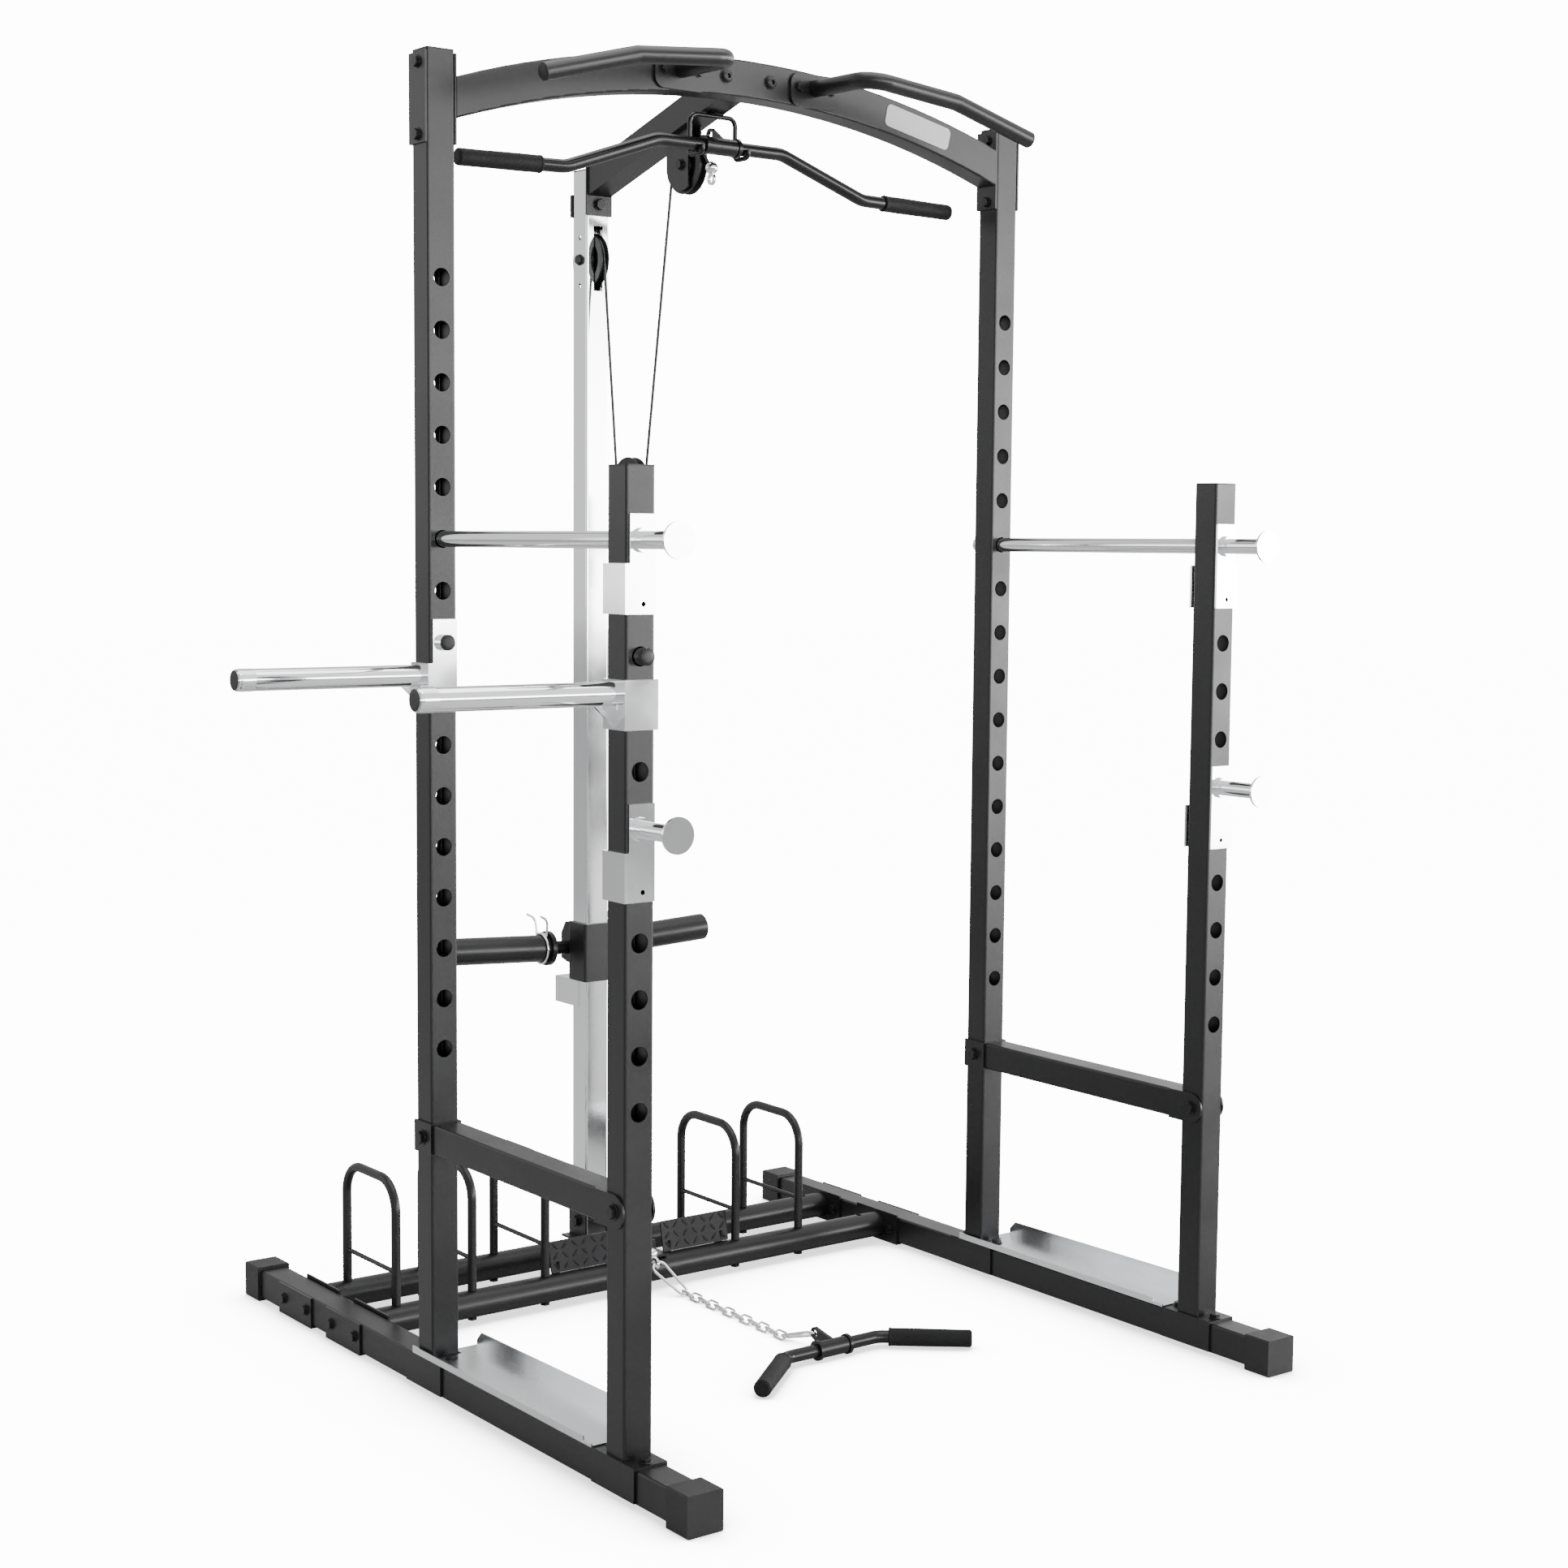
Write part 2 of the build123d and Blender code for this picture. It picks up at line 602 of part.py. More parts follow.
with BuildPart() as foot_plates:
    lean = math.radians(12)
    for side in (-1, 1):
        base = (side * 120, STORE_FRONT_Y + 4, STORE_Z + STORE_R + 0.5)
        up = Plane(origin=base, x_dir=(1, 0, 0), z_dir=(0, -math.cos(lean), math.sin(lean)))
        with BuildSketch(up):
            with Locations((0, 28)):
                RectangleRounded(146, 56, 4)
        extrude(amount=3)
        low, high = sorted((side * 60, side * 64))
        block(low, high, STORE_FRONT_Y + 2, STORE_FRONT_Y + 24, STORE_Z + STORE_R - 14, STORE_Z + STORE_R + 20)
        low, high = sorted((side * 176, side * 180))
        block(low, high, STORE_FRONT_Y + 2, STORE_FRONT_Y + 24, STORE_Z + STORE_R - 14, STORE_Z + STORE_R + 20)
    for y in (STORE_FRONT_Y,):
        rod((-200, y, STORE_Z), (200, y, STORE_Z), STORE_R, Mode.SUBTRACT)
keep("foot_plates", foot_plates.part)


# ---------------------------------------------------------------- sheet-metal trays on the rails
def tray(name, x):
    """Folded tray between the uprights of one side, with a low lip and a tall lip."""
    near, far = x - RAIL / 2 - PLATE, x + 70
    front, notch, back = FRONT_Y + HALF + 28, -HALF - 2, 0.0
    base, thick = FOOT_TOP, 2.0
    with BuildPart() as sheet:
        block(near, far, front, notch, base, base + thick)
        block(x + HALF + 4, far, notch, back, base, base + thick)
        block(near - thick, near, front + 22, 30, base, base + 11)
        block(near - thick, near, front, front + 22, base, base + 5)
        with BuildSketch(Plane(origin=(far, 0, 0), x_dir=(0, 1, 0), z_dir=(1, 0, 0))):
            Polygon((front, base), (back, base), (back, base + 10), (back - 14, base + 24),
                    (front, base + 30), align=None)
        extrude(amount=thick)
        block(far - 1, far + thick, front, back, base, base + thick)
        drill_bolts(sheet)
    keep(name, sheet.part)


tray("tray_left", -UPRIGHT_X)
tray("tray_right", UPRIGHT_X)


# ---------------------------------------------------------------- pulleys and their cable
def pulley(name, centre, bore=5.15):
    """Grooved wheel turning about X, with a hub, a thin web and a rim."""
    y, z = centre
    half = PULLEY_W / 2
    with BuildPart() as wheel:
        with BuildSketch(Plane.XY):
            with BuildLine():
                Polyline(
                    (-half - 1.5, bore), (half + 1.5, bore), (half + 1.5, 13), (half - 4.5, 16),
                    (half - 4.5, 33), (half, 36), (half, PULLEY_R), (half - 2, PULLEY_R),
                    (2.6, GROOVE_R - CABLE_R - 0.3), (-2.6, GROOVE_R - CABLE_R - 0.3),
                    (-half + 2, PULLEY_R), (-half, PULLEY_R), (-half, 36), (-half + 4.5, 33),
                    (-half + 4.5, 16), (-half - 1.5, 13), (-half - 1.5, bore),
                )
            make_face()
        revolve(axis=Axis.X)
    wheel.part.position = (0, y, z)
    keep(name, wheel.part)


pulley("front_pulley", FRONT_PULLEY)
pulley("rear_pulley", REAR_PULLEY)
pulley("block_pulley", BLOCK_PULLEY)
pulley("low_pulley", LOW_PULLEY)

with BuildPart() as floating_block:
    block_y, block_z = BLOCK_PULLEY
    for side in (-1, 1):
        low, high = sorted((side * CHEEK_IN, side * (CHEEK_IN + CHEEK)))
        with BuildSketch(Plane.YZ.offset(low)):
            with Locations(BLOCK_PULLEY):
                Circle(15)
            with Locations((block_y, (block_z + BLOCK_ANCHOR_Z) / 2)):
                Rectangle(30, block_z - BLOCK_ANCHOR_Z)
        extrude(amount=CHEEK)
    block(-CHEEK_IN, CHEEK_IN, block_y - 15, block_y + 15, BLOCK_ANCHOR_Z, BLOCK_ANCHOR_Z + 4)
    rod((-20, block_y, block_z), (20, block_y, block_z), 5)
    for side in (-1, 1):
        rod((side * 14, block_y, block_z), (side * 20, block_y, block_z), 9)
    rod((0, block_y, BLOCK_ANCHOR_Z), (0, block_y, BLOCK_ANCHOR_Z - 26), 6)
keep("floating_block", floating_block.part)


def cross_tangent(first, second):
    """Straight cable from the rear side of one pulley to the front side of the next, lower one."""
    run_y, run_z = second[0] - first[0], second[1] - first[1]
    lean = math.atan2(run_y, -run_z) - math.asin(2 * GROOVE_R / math.hypot(run_y, run_z))
    off_y, off_z = GROOVE_R * math.cos(lean), GROOVE_R * math.sin(lean)
    start = (first[0] + off_y, first[1] + off_z)
    end = (second[0] - off_y, second[1] - off_z)
    return start, end, lean


def cable_arc(centre, from_angle, to_angle):
    """Cable laid round a pulley, between two angles from +Y towards +Z."""
    def on(angle):
        return (0, centre[0] + GROOVE_R * math.cos(angle), centre[1] + GROOVE_R * math.sin(angle))

    with BuildLine() as lay:
        ThreePointArc(on(from_angle), on((from_angle + to_angle) / 2), on(to_angle))
    with BuildSketch(Plane(origin=lay.line @ 0, z_dir=lay.line % 0)) as section:
        Circle(CABLE_R)
    sweep(section.sketch, path=lay.line)


def cable_run(name, *runs):
    """Straight lengths of cable between points in the Y, Z plane."""
    with BuildPart() as straight:
        for start, end in runs:
            rod((0, *start), (0, *end), CABLE_R)
    keep(name, straight.part)


front_off, block_in, front_lean = cross_tangent(FRONT_PULLEY, BLOCK_PULLEY)
run_y, run_z = REAR_PULLEY[0] - BLOCK_PULLEY[0], REAR_PULLEY[1] - BLOCK_PULLEY[1]
rear_lean = math.atan2(run_y, run_z) - math.asin(2 * GROOVE_R / math.hypot(run_y, run_z))
block_out = (BLOCK_PULLEY[0] + GROOVE_R * math.cos(rear_lean), BLOCK_PULLEY[1] - GROOVE_R * math.sin(rear_lean))
rear_on = (REAR_PULLEY[0] - GROOVE_R * math.cos(rear_lean), REAR_PULLEY[1] + GROOVE_R * math.sin(rear_lean))
anchor_low = (BLOCK_PULLEY[0], BLOCK_ANCHOR_Z - 26.1)
drop_y, drop_z = LOW_PULLEY[0] - anchor_low[0], anchor_low[1] - LOW_PULLEY[1]
low_lean = math.asin((GROOVE_R + drop_y) / math.hypot(drop_y, drop_z))
low_on = (LOW_PULLEY[0] + GROOVE_R * math.cos(low_lean), LOW_PULLEY[1] + GROOVE_R * math.sin(low_lean))
low_off = (LOW_PULLEY[0], LOW_PULLEY[1] - GROOVE_R)
ball_run = (FRONT_PULLEY[0] - LAT_END[0], FRONT_PULLEY[1] - LAT_END[1])
ball_turn = math.atan2(-ball_run[1], -ball_run[0]) - math.acos(GROOVE_R / math.hypot(*ball_run))
ball_turn %= 2 * math.pi
front_drop = (FRONT_PULLEY[0] + GROOVE_R * math.cos(ball_turn), FRONT_PULLEY[1] + GROOVE_R * math.sin(ball_turn))
to_ball = (Vector(0, *LAT_END) - Vector(0, *front_drop)).normalized()
ball_top = Vector(0, *LAT_END) - to_ball * BALL_R
anchor_top = (REAR_PULLEY[0] + GROOVE_R, CARRIAGE_TOP + 14)
low_ball_y = STORE_FRONT_Y - 18 - BALL_R - 0.3

with BuildPart() as cable_on_pulleys:
    cable_arc(FRONT_PULLEY, front_lean, ball_turn)
    cable_arc(REAR_PULLEY, 0, math.pi - rear_lean)
    cable_arc(LOW_PULLEY, low_lean, -math.pi / 2)
keep("cable_on_pulleys", cable_on_pulleys.part)
with BuildPart() as cable_under_block:
    cable_arc(BLOCK_PULLEY, math.pi + front_lean, 2 * math.pi - rear_lean)
keep("cable_under_block", cable_under_block.part)
cable_run("cable_to_block", (front_off, block_in), (block_out, rear_on))
cable_run("cable_to_carriage", ((REAR_PULLEY[0] + GROOVE_R, REAR_PULLEY[1]), anchor_top))
cable_run("cable_to_lat_end", (front_drop, (ball_top.Y, ball_top.Z)))
cable_run("cable_to_low_pulley", (anchor_low, low_on))
cable_run("cable_to_row_end", (low_off, (low_ball_y + BALL_R, low_off[1])))

with BuildPart() as lat_cable_end:
    with Locations((0, *LAT_END)):
        Sphere(BALL_R)
    with BuildSketch(Plane(origin=(0, LAT_END[0], LAT_END[1] - 19), z_dir=(1, 0, 0))):
        Circle(10)
        Circle(6, mode=Mode.SUBTRACT)
    extrude(amount=2.5, both=True)
keep("lat_cable_end", lat_cable_end.part)


# ---------------------------------------------------------------- weight carriage
with BuildPart() as carriage:
    sleeve_half = 29.5
    rear_end = TOWER_Y + HALF + 52
    block(-sleeve_half, sleeve_half, TOWER_Y - sleeve_half, TOWER_Y + sleeve_half, CARRIAGE_LOW + 7, CARRIAGE_TOP)
    fillet(carriage.edges().filter_by(Axis.Z), 5)
    block(-HALF - 0.8, HALF + 0.8, TOWER_Y - HALF - 0.8, TOWER_Y + HALF + 0.8, 400, 800, Mode.SUBTRACT)
    with BuildSketch(Plane.YZ.offset(-16)):
        Polygon(
            (TOWER_Y + sleeve_half, CARRIAGE_LOW + 30), (rear_end - 18, CARRIAGE_LOW + 34),
            (rear_end, HORN_Z - 22), (rear_end, HORN_Z + 26), (rear_end - 14, CARRIAGE_TOP - 6),
            (TOWER_Y + sleeve_half, CARRIAGE_TOP - 6), align=None,
        )
    extrude(amount=32)
    rod((0, anchor_top[0], CARRIAGE_TOP - 8), (0, anchor_top[0], anchor_top[1]), 7)
keep("carriage", carriage.part)

with BuildPart() as carriage_bumper:
    bumper_y = rear_end - 34
    rod((0, bumper_y, stop_top + 0.3), (0, bumper_y, CARRIAGE_LOW + 30), 11)
keep("carriage_bumper", carriage_bumper.part)


def horn_plane(side, along):
    """Plane across a weight horn, this far along it from the mid-plane."""
    tilt = math.radians(HORN_TILT)
    way = (side * math.cos(tilt), 0, math.sin(tilt))
    return Plane(origin=(along * way[0], HORN_Y, HORN_Z + along * way[2]), x_dir=(0, 1, 0), z_dir=way)


with BuildPart() as weight_horns:
    for side in (-1, 1):
        for start, end, radius in (
            (HORN_ROOT, COLLAR_AT, HORN_NECK_R),
            (COLLAR_AT, COLLAR_AT + COLLAR_THICK, COLLAR_R),
            (COLLAR_AT + COLLAR_THICK, HORN_END, HORN_R),
        ):
            with BuildSketch(horn_plane(side, start)):
                Circle(radius)
            extrude(amount=end - start)
        with BuildSketch(horn_plane(side, HORN_END)):
            Circle(HORN_R - 3)
        extrude(amount=-150, mode=Mode.SUBTRACT)
keep("weight_horns", weight_horns.part)

with BuildPart() as horn_plugs:
    for side in (-1, 1):
        with BuildSketch(horn_plane(side, HORN_END)):
            Circle(HORN_R)
        extrude(amount=2)
        with BuildSketch(horn_plane(side, HORN_END)):
            Circle(HORN_R - 3.1)
        extrude(amount=-18)
keep("horn_plugs", horn_plugs.part)


def spring_clip(name, side):
    """Spring collar that grips a horn, with two finger handles standing up from it."""
    inner, outer, thick = HORN_R + 0.4, HORN_R + 5, 7.0
    with BuildPart() as clip:
        with BuildSketch(horn_plane(side, CLIP_AT)):
            Circle(outer)
            Circle(inner, mode=Mode.SUBTRACT)
        extrude(amount=thick)
        middle = horn_plane(side, CLIP_AT + thick / 2)
        up = 1 if middle.y_dir.Z > 0 else -1
        for lean in (-0.35, 0.35):
            mid_r = (inner + outer) / 2
            root = middle.from_local_coords((mid_r * math.sin(lean), up * mid_r * math.cos(lean), 0))
            tip = middle.from_local_coords((2 * mid_r * math.sin(lean), up * (mid_r + 40), 0))
            rod(root, tip, 2.2)
    keep(name, clip.part)


spring_clip("spring_clip_left", -1)
spring_clip("spring_clip_right", 1)


# ---------------------------------------------------------------- handle bars with swivel sleeves
def swivel_sleeve(centre, axis_half, bore, outside, collar, eye, wide=0.0):
    """Sleeve that a bar turns in, with a collar at each end and an ear plate with its eye."""
    x, y, z = centre
    with BuildPart() as sleeve:
        rod((x - axis_half, y, z), (x + axis_half, y, z), outside)
        for side in (-1, 1):
            rod((x + side * axis_half, y, z), (x + side * (axis_half - 6), y, z), collar)
        run = math.hypot(eye[0], eye[1])
        lean = math.atan2(eye[1], eye[0])
        ear = Plane(origin=(x - 3, y, z), x_dir=(0, math.cos(lean), math.sin(lean)), z_dir=(1, 0, 0))
        with BuildSketch(ear) as outline:
            with BuildLine() as edge:
                Polyline((0, -outside), (run, -11), (run, 11), (0, outside), (0, -outside))
            make_face(edge.edges())
            with Locations((run, 0)):
                Circle(11)
                Circle(7, mode=Mode.SUBTRACT)
        extrude(outline.sketch, amount=6)
        rod((x - axis_half - 1, y, z), (x + axis_half + 1, y, z), bore, Mode.SUBTRACT)
    return sleeve.part


lat_eye = (27.0, 23.0)
row_eye = (45.0, 12.0)
keep("lat_bar_sleeve", swivel_sleeve((0, BAR_Y, BAR_Z), 36, BAR_R + 0.1, 14.5, 16.5, lat_eye))
keep("row_bar_sleeve", swivel_sleeve((ROW_X, ROW_Y, ROW_Z), 34, BAR_R + 0.1, 14.5, ROW_Z, row_eye))

with BuildPart() as lat_bar:
    half_path = [(128, BAR_Z), (306, BAR_Z - 62), (503, BAR_Z - 66)]
    route = [(-x, BAR_Y, z) for x, z in reversed(half_path)] + [(x, BAR_Y, z) for x, z in half_path]
    bent_rod(route, BAR_R, 60)
keep("lat_bar", lat_bar.part)

with BuildPart() as row_bar:
    arms = [(98, 0), (218, -100)]
    route = [(ROW_X - x, ROW_Y + y, ROW_Z) for x, y in reversed(arms)]
    route += [(ROW_X + x, ROW_Y + y, ROW_Z) for x, y in arms]
    bent_rod(route, BAR_R, 34)
keep("row_bar", row_bar.part)


def grip_pair(name, ends, starts, radius):
    """Two rubber grips closed at the bar's ends, one over each end of the bar."""
    with BuildPart() as grips:
        for end, start in zip(ends, starts):
            way = (Vector(*end) - Vector(*start)).normalized()
            tip = Vector(*end) + way * 4
            rod(start, tip, radius)
            rod(start, end, BAR_R, Mode.SUBTRACT)
    keep(name, grips.part)


lat_ends = [(side * 503, BAR_Y, BAR_Z - 66) for side in (-1, 1)]
lat_starts = [(side * 353, BAR_Y, BAR_Z - 62 - 4 * 47 / 197) for side in (-1, 1)]
grip_pair("lat_bar_grips", lat_ends, lat_starts, 14.5)
row_ends = [(ROW_X + side * 218, ROW_Y - 100, ROW_Z) for side in (-1, 1)]
row_starts = [(ROW_X + side * 112, ROW_Y - 100 * 14 / 120, ROW_Z) for side in (-1, 1)]
grip_pair("row_bar_grips", row_ends, row_starts, ROW_GRIP_R)


# ---------------------------------------------------------------- low row tackle
with BuildPart() as row_cable_end:
    with Locations((0, low_ball_y, low_off[1])):
        Sphere(BALL_R)
    with BuildSketch(Plane(origin=(0, low_ball_y - 12, low_off[1] - 15), z_dir=(1, 0, 0))):
        Circle(11)
        Circle(6.5, mode=Mode.SUBTRACT)
    extrude(amount=2.5, both=True)
keep("row_cable_end", row_cable_end.part)


def pear_link(start, end, roll):
    """Closed pear-shaped snap link whose wire runs through two eyes, one at each end."""
    small, large, wire = 7.5, 12.0, 2.6
    a, b = Vector(start), Vector(end)
    way = (b - a).normalized()
    across = way.cross(Vector(*roll)).normalized()
    face = Plane(origin=a, x_dir=way, z_dir=across)
    length = (b - a).length
    with BuildLine(face) as outline:
        tilt = math.asin((large - small) / (length - large - small))
        top_a = (small - small * math.sin(tilt), small * math.cos(tilt))
        top_b = (length - large - large * math.sin(tilt), large * math.cos(tilt))
        Line(top_a, top_b)
        ThreePointArc(top_b, (length, 0), (top_b[0], -top_b[1]))
        Line((top_b[0], -top_b[1]), (top_a[0], -top_a[1]))
        ThreePointArc((top_a[0], -top_a[1]), (0, 0), top_a)
    with BuildSketch(Plane(origin=outline.wire() @ 0, z_dir=outline.wire() % 0)) as section:
        Circle(wire)
    sweep(section.sketch, path=outline.wire())


ring_eye = (0, low_ball_y - 12, low_off[1] - 15)
row_eye_at = (ROW_X, ROW_Y + row_eye[0], ROW_Z + row_eye[1])
chain_near = (28, 187, CHAIN_Z)
chain_far = (22, 187 - CHAIN_LINKS * LINK_PITCH, CHAIN_Z)


def hooked(end, other):
    """A point just inside the chain's last link, measured from its end towards its other end."""
    return Vector(*end) + (Vector(*other) - Vector(*end)).normalized() * 3.0


with BuildPart() as snap_links:
    pear_link(hooked(chain_near, chain_far), ring_eye, (1, 0, 0.4))
    pear_link(hooked(chain_far, chain_near), row_eye_at, (1, 0, -0.4))
keep("snap_links", snap_links.part)

with BuildPart() as row_chain:
    for index in range(CHAIN_LINKS):
        near = Vector(*chain_near) + (Vector(*chain_far) - Vector(*chain_near)) * (index / CHAIN_LINKS)
        far = Vector(*chain_near) + (Vector(*chain_far) - Vector(*chain_near)) * ((index + 1) / CHAIN_LINKS)
        middle = (near + far) * 0.5
        way = (far - near).normalized()
        lean = 1 if index % 2 else -1
        face = Plane(origin=middle, x_dir=way, z_dir=way.cross(Vector(lean, 0, 1)).normalized())
        run = LINK_PITCH + 2 * LINK_WIRE - 2 * LINK_HALF_W
        with BuildLine(face) as oval:
            Line((-run / 2, LINK_HALF_W), (run / 2, LINK_HALF_W))
            ThreePointArc((run / 2, LINK_HALF_W), (run / 2 + LINK_HALF_W, 0), (run / 2, -LINK_HALF_W))
            Line((run / 2, -LINK_HALF_W), (-run / 2, -LINK_HALF_W))
            ThreePointArc((-run / 2, -LINK_HALF_W), (-run / 2 - LINK_HALF_W, 0), (-run / 2, LINK_HALF_W))
        with BuildSketch(Plane(origin=oval.wire() @ 0, z_dir=oval.wire() % 0)) as section:
            Circle(LINK_WIRE)
        sweep(section.sketch, path=oval.wire())
keep("row_chain", row_chain.part)


# ---------------------------------------------------------------- bar catches, safety rods, dip handles
def catch_plate(x, y, peg_z, side, way):
    """Plate on the upright's face towards `way`, wrapping its outer side and its other face."""
    gap, thick = CATCH_GAP, CATCH_PLATE
    face = y + way * (HALF + gap)
    other = y - way * (HALF + gap)
    outer = x + side * (HALF + gap)
    top, wrap, low = peg_z + CATCH_UP, peg_z - CATCH_WRAP, peg_z - CATCH_DOWN
    block(*sorted((x - side * 22, x + side * 20)), *sorted((face, face + way * thick)), low, top)
    block(*sorted((x, outer + side * thick)), *sorted((face, face + way * thick)), low, wrap)
    block(*sorted((outer, outer + side * thick)), *sorted((face, other)), low, wrap)
    block(*sorted((x - side * 27, outer + side * thick)), *sorted((other, other - way * thick)), low, wrap)
    rod((x + 2, y + way * 20, low + 14), (x + 2, y + way * 40, low + 14), 3.5, Mode.SUBTRACT)


def bar_catch(name, side, hole, back):
    """Catch on a front upright: plate, weld collar, round peg with an end disc, and its tail behind."""
    x, z = side * UPRIGHT_X, hole_z(hole)
    plate_front = FRONT_Y - HALF - CATCH_GAP - CATCH_PLATE
    tip = FRONT_Y - HALF - PEG_OUT
    with BuildPart() as catch:
        catch_plate(x, FRONT_Y, z, side, -1)
        rod((x, tip, z), (x, back, z), PEG_R)
        rod((x, plate_front, z), (x, plate_front - 7, z), 17)
        rod((x, tip, z), (x, tip + 4, z), DISC_R)
    keep(name, catch.part)


for side, label in ((-1, "left"), (1, "right")):
    bar_catch(f"bar_catch_{label}", side, LOWER_CATCH_HOLE, FRONT_Y + HALF + 6)
    bar_catch(f"safety_rod_{label}", side, SAFETY_HOLE, HALF + 18)


def dip_handle(name, y, way):
    """Dip bar welded to a catch on a left upright; `way` is the face that its plate lies on."""
    x, z = -UPRIGHT_X, hole_z(DIP_HOLE)
    outer = x - HALF - CATCH_GAP - CATCH_PLATE
    bar_z = z - DIP_DROP
    face = y + way * (HALF + CATCH_GAP + CATCH_PLATE)
    with BuildPart() as dip:
        catch_plate(x, y, z, -1, way)
        rod((x, face + way * 9, z), (x, y - way * (HALF + 14), z), PEG_R)
        with BuildSketch(Plane(origin=(outer, y, bar_z), z_dir=(-1, 0, 0))):
            Circle(DIP_R)
            Circle(DIP_R - 2.5, mode=Mode.SUBTRACT)
        extrude(amount=outer - DIP_END_X)
        with BuildSketch(Plane(origin=(DIP_END_X, y, bar_z), z_dir=(-1, 0, 0))):
            Circle(DIP_R - 0.4)
        extrude(amount=DIP_CAP, taper=20)
        block(outer - 9, outer, y - 20, y + 20, bar_z - DIP_R - 4, bar_z - DIP_R + 3)
        with BuildSketch(Plane.XZ.offset(-y - 2)):
            Polygon(
                (outer, bar_z - DIP_R + 2), (outer - 34, bar_z - DIP_R + 2), (outer, z - CATCH_DOWN + 3),
                align=None,
            )
        extrude(amount=4)
    keep(name, dip.part)


dip_handle("dip_handle_rear", 0.0, -1)
dip_handle("dip_handle_front", FRONT_Y, 1)

with BuildPart() as bolt_set:
    for bolt in frame_bolts + pulley_bolts:
        bolt.draw()
keep("frame_bolts", bolt_set.part)

print(len(made), "nodes")
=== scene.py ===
# %% [markdown]
# # A power cage, dressed for a picture
#
# The steel frame, pulleys and handles come from a CAD model and stay where they are. This file gives
# each of them a finish, and adds the pieces whose look is in small shapes: the cables, the raised
# pattern on the foot plates, the wire clips on the weight horns, the grips and the bolts.
# Everything is in metres, with +Z up and the floor at zero.

import math

import bpy
import numpy as np
from mathutils import Matrix, Vector


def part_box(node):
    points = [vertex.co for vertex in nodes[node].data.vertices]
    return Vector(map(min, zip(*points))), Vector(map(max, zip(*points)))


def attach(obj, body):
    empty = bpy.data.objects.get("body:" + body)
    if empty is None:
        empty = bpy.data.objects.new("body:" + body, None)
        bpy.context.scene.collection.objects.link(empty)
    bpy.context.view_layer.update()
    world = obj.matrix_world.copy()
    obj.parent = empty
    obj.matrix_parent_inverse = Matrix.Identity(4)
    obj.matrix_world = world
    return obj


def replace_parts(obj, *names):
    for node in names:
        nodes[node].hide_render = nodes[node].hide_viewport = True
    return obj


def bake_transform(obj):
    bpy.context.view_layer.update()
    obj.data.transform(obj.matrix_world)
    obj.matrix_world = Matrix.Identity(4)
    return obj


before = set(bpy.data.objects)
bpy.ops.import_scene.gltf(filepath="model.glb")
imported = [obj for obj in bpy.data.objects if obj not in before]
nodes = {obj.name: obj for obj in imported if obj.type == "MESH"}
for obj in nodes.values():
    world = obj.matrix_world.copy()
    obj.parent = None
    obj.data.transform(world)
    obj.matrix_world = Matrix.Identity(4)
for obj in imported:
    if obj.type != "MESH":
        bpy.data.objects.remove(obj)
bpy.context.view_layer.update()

# %% [markdown]
# ## The camera
#
# A camera can be aimed with a Track To constraint or by hand-set angles. Here its three axes are worked
# out from a heading, a pitch and a small roll, because then the same numbers can be checked on paper.

# %% Camera
HEADING, PITCH, ROLL = (math.radians(a) for a in (-37.373, -5.155, 0.517))
camera_data = bpy.data.cameras.new("camera")
camera_data.lens = 57.87
camera_data.shift_x = -0.0155
camera_data.shift_y = -0.0056
camera_data.clip_end = 60
ahead = Vector((-math.sin(HEADING) * math.cos(PITCH), math.cos(HEADING) * math.cos(PITCH), math.sin(PITCH)))
level = Vector((math.cos(HEADING), math.sin(HEADING), 0))
above = level.cross(ahead)
right = level * math.cos(ROLL) + above * math.sin(ROLL)
up = above * math.cos(ROLL) - level * math.sin(ROLL)
camera = bpy.data.objects.new("camera", camera_data)
camera.matrix_world = Matrix.Translation((-2.5037, -3.4836, 1.3494)) @ Matrix(
    (right, up, -ahead)).transposed().to_4x4()
bpy.context.scene.collection.objects.link(camera)
bpy.context.scene.camera = camera
print("camera looks along", [round(v, 3) for v in ahead])


# %% [markdown]
# ## Surfaces from arrays
#
# A shape can be pushed about by hand, or be a function of two parameters on a grid. The second way is
# exact and repeatable, so every new piece here is a grid of points, `rows` along it and `columns` round
# it, that one helper turns into faces.

# %% Grid to mesh
def new_object(name, points, faces, material, body, smooth=True, uv=None):
    """Mesh object from an array of points and a list of faces, riding on a body if one is named."""
    mesh = bpy.data.meshes.new(name)
    mesh.from_pydata(np.asarray(points, float).reshape(-1, 3).tolist(), [], faces)
    if uv is not None:
        layer = mesh.uv_layers.new(name="UVMap")
        loops = np.empty(len(mesh.loops), int)
        mesh.loops.foreach_get("vertex_index", loops)
        layer.data.foreach_set("uv", np.asarray(uv, float).reshape(-1, 2)[loops].ravel())
    mesh.polygons.foreach_set("use_smooth", [smooth] * len(mesh.polygons))
    mesh.materials.append(material)
    mesh.update()
    made = bpy.data.objects.new(name, mesh)
    bpy.context.scene.collection.objects.link(made)
    if body:
        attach(made, body)
    return made


def grid_faces(rows, columns, first=0, flip=False, close=True):
    """Quads between neighbouring rows of a grid whose columns close on themselves."""
    r, c = np.meshgrid(np.arange(rows - 1), np.arange(columns if close else columns - 1), indexing="ij")
    right_c = (c + 1) % columns
    quad = np.stack([r * columns + c, r * columns + right_c, (r + 1) * columns + right_c,
                     (r + 1) * columns + c], axis=-1).reshape(-1, 4) + first
    if flip:
        quad = quad[:, ::-1]
    return quad.tolist()


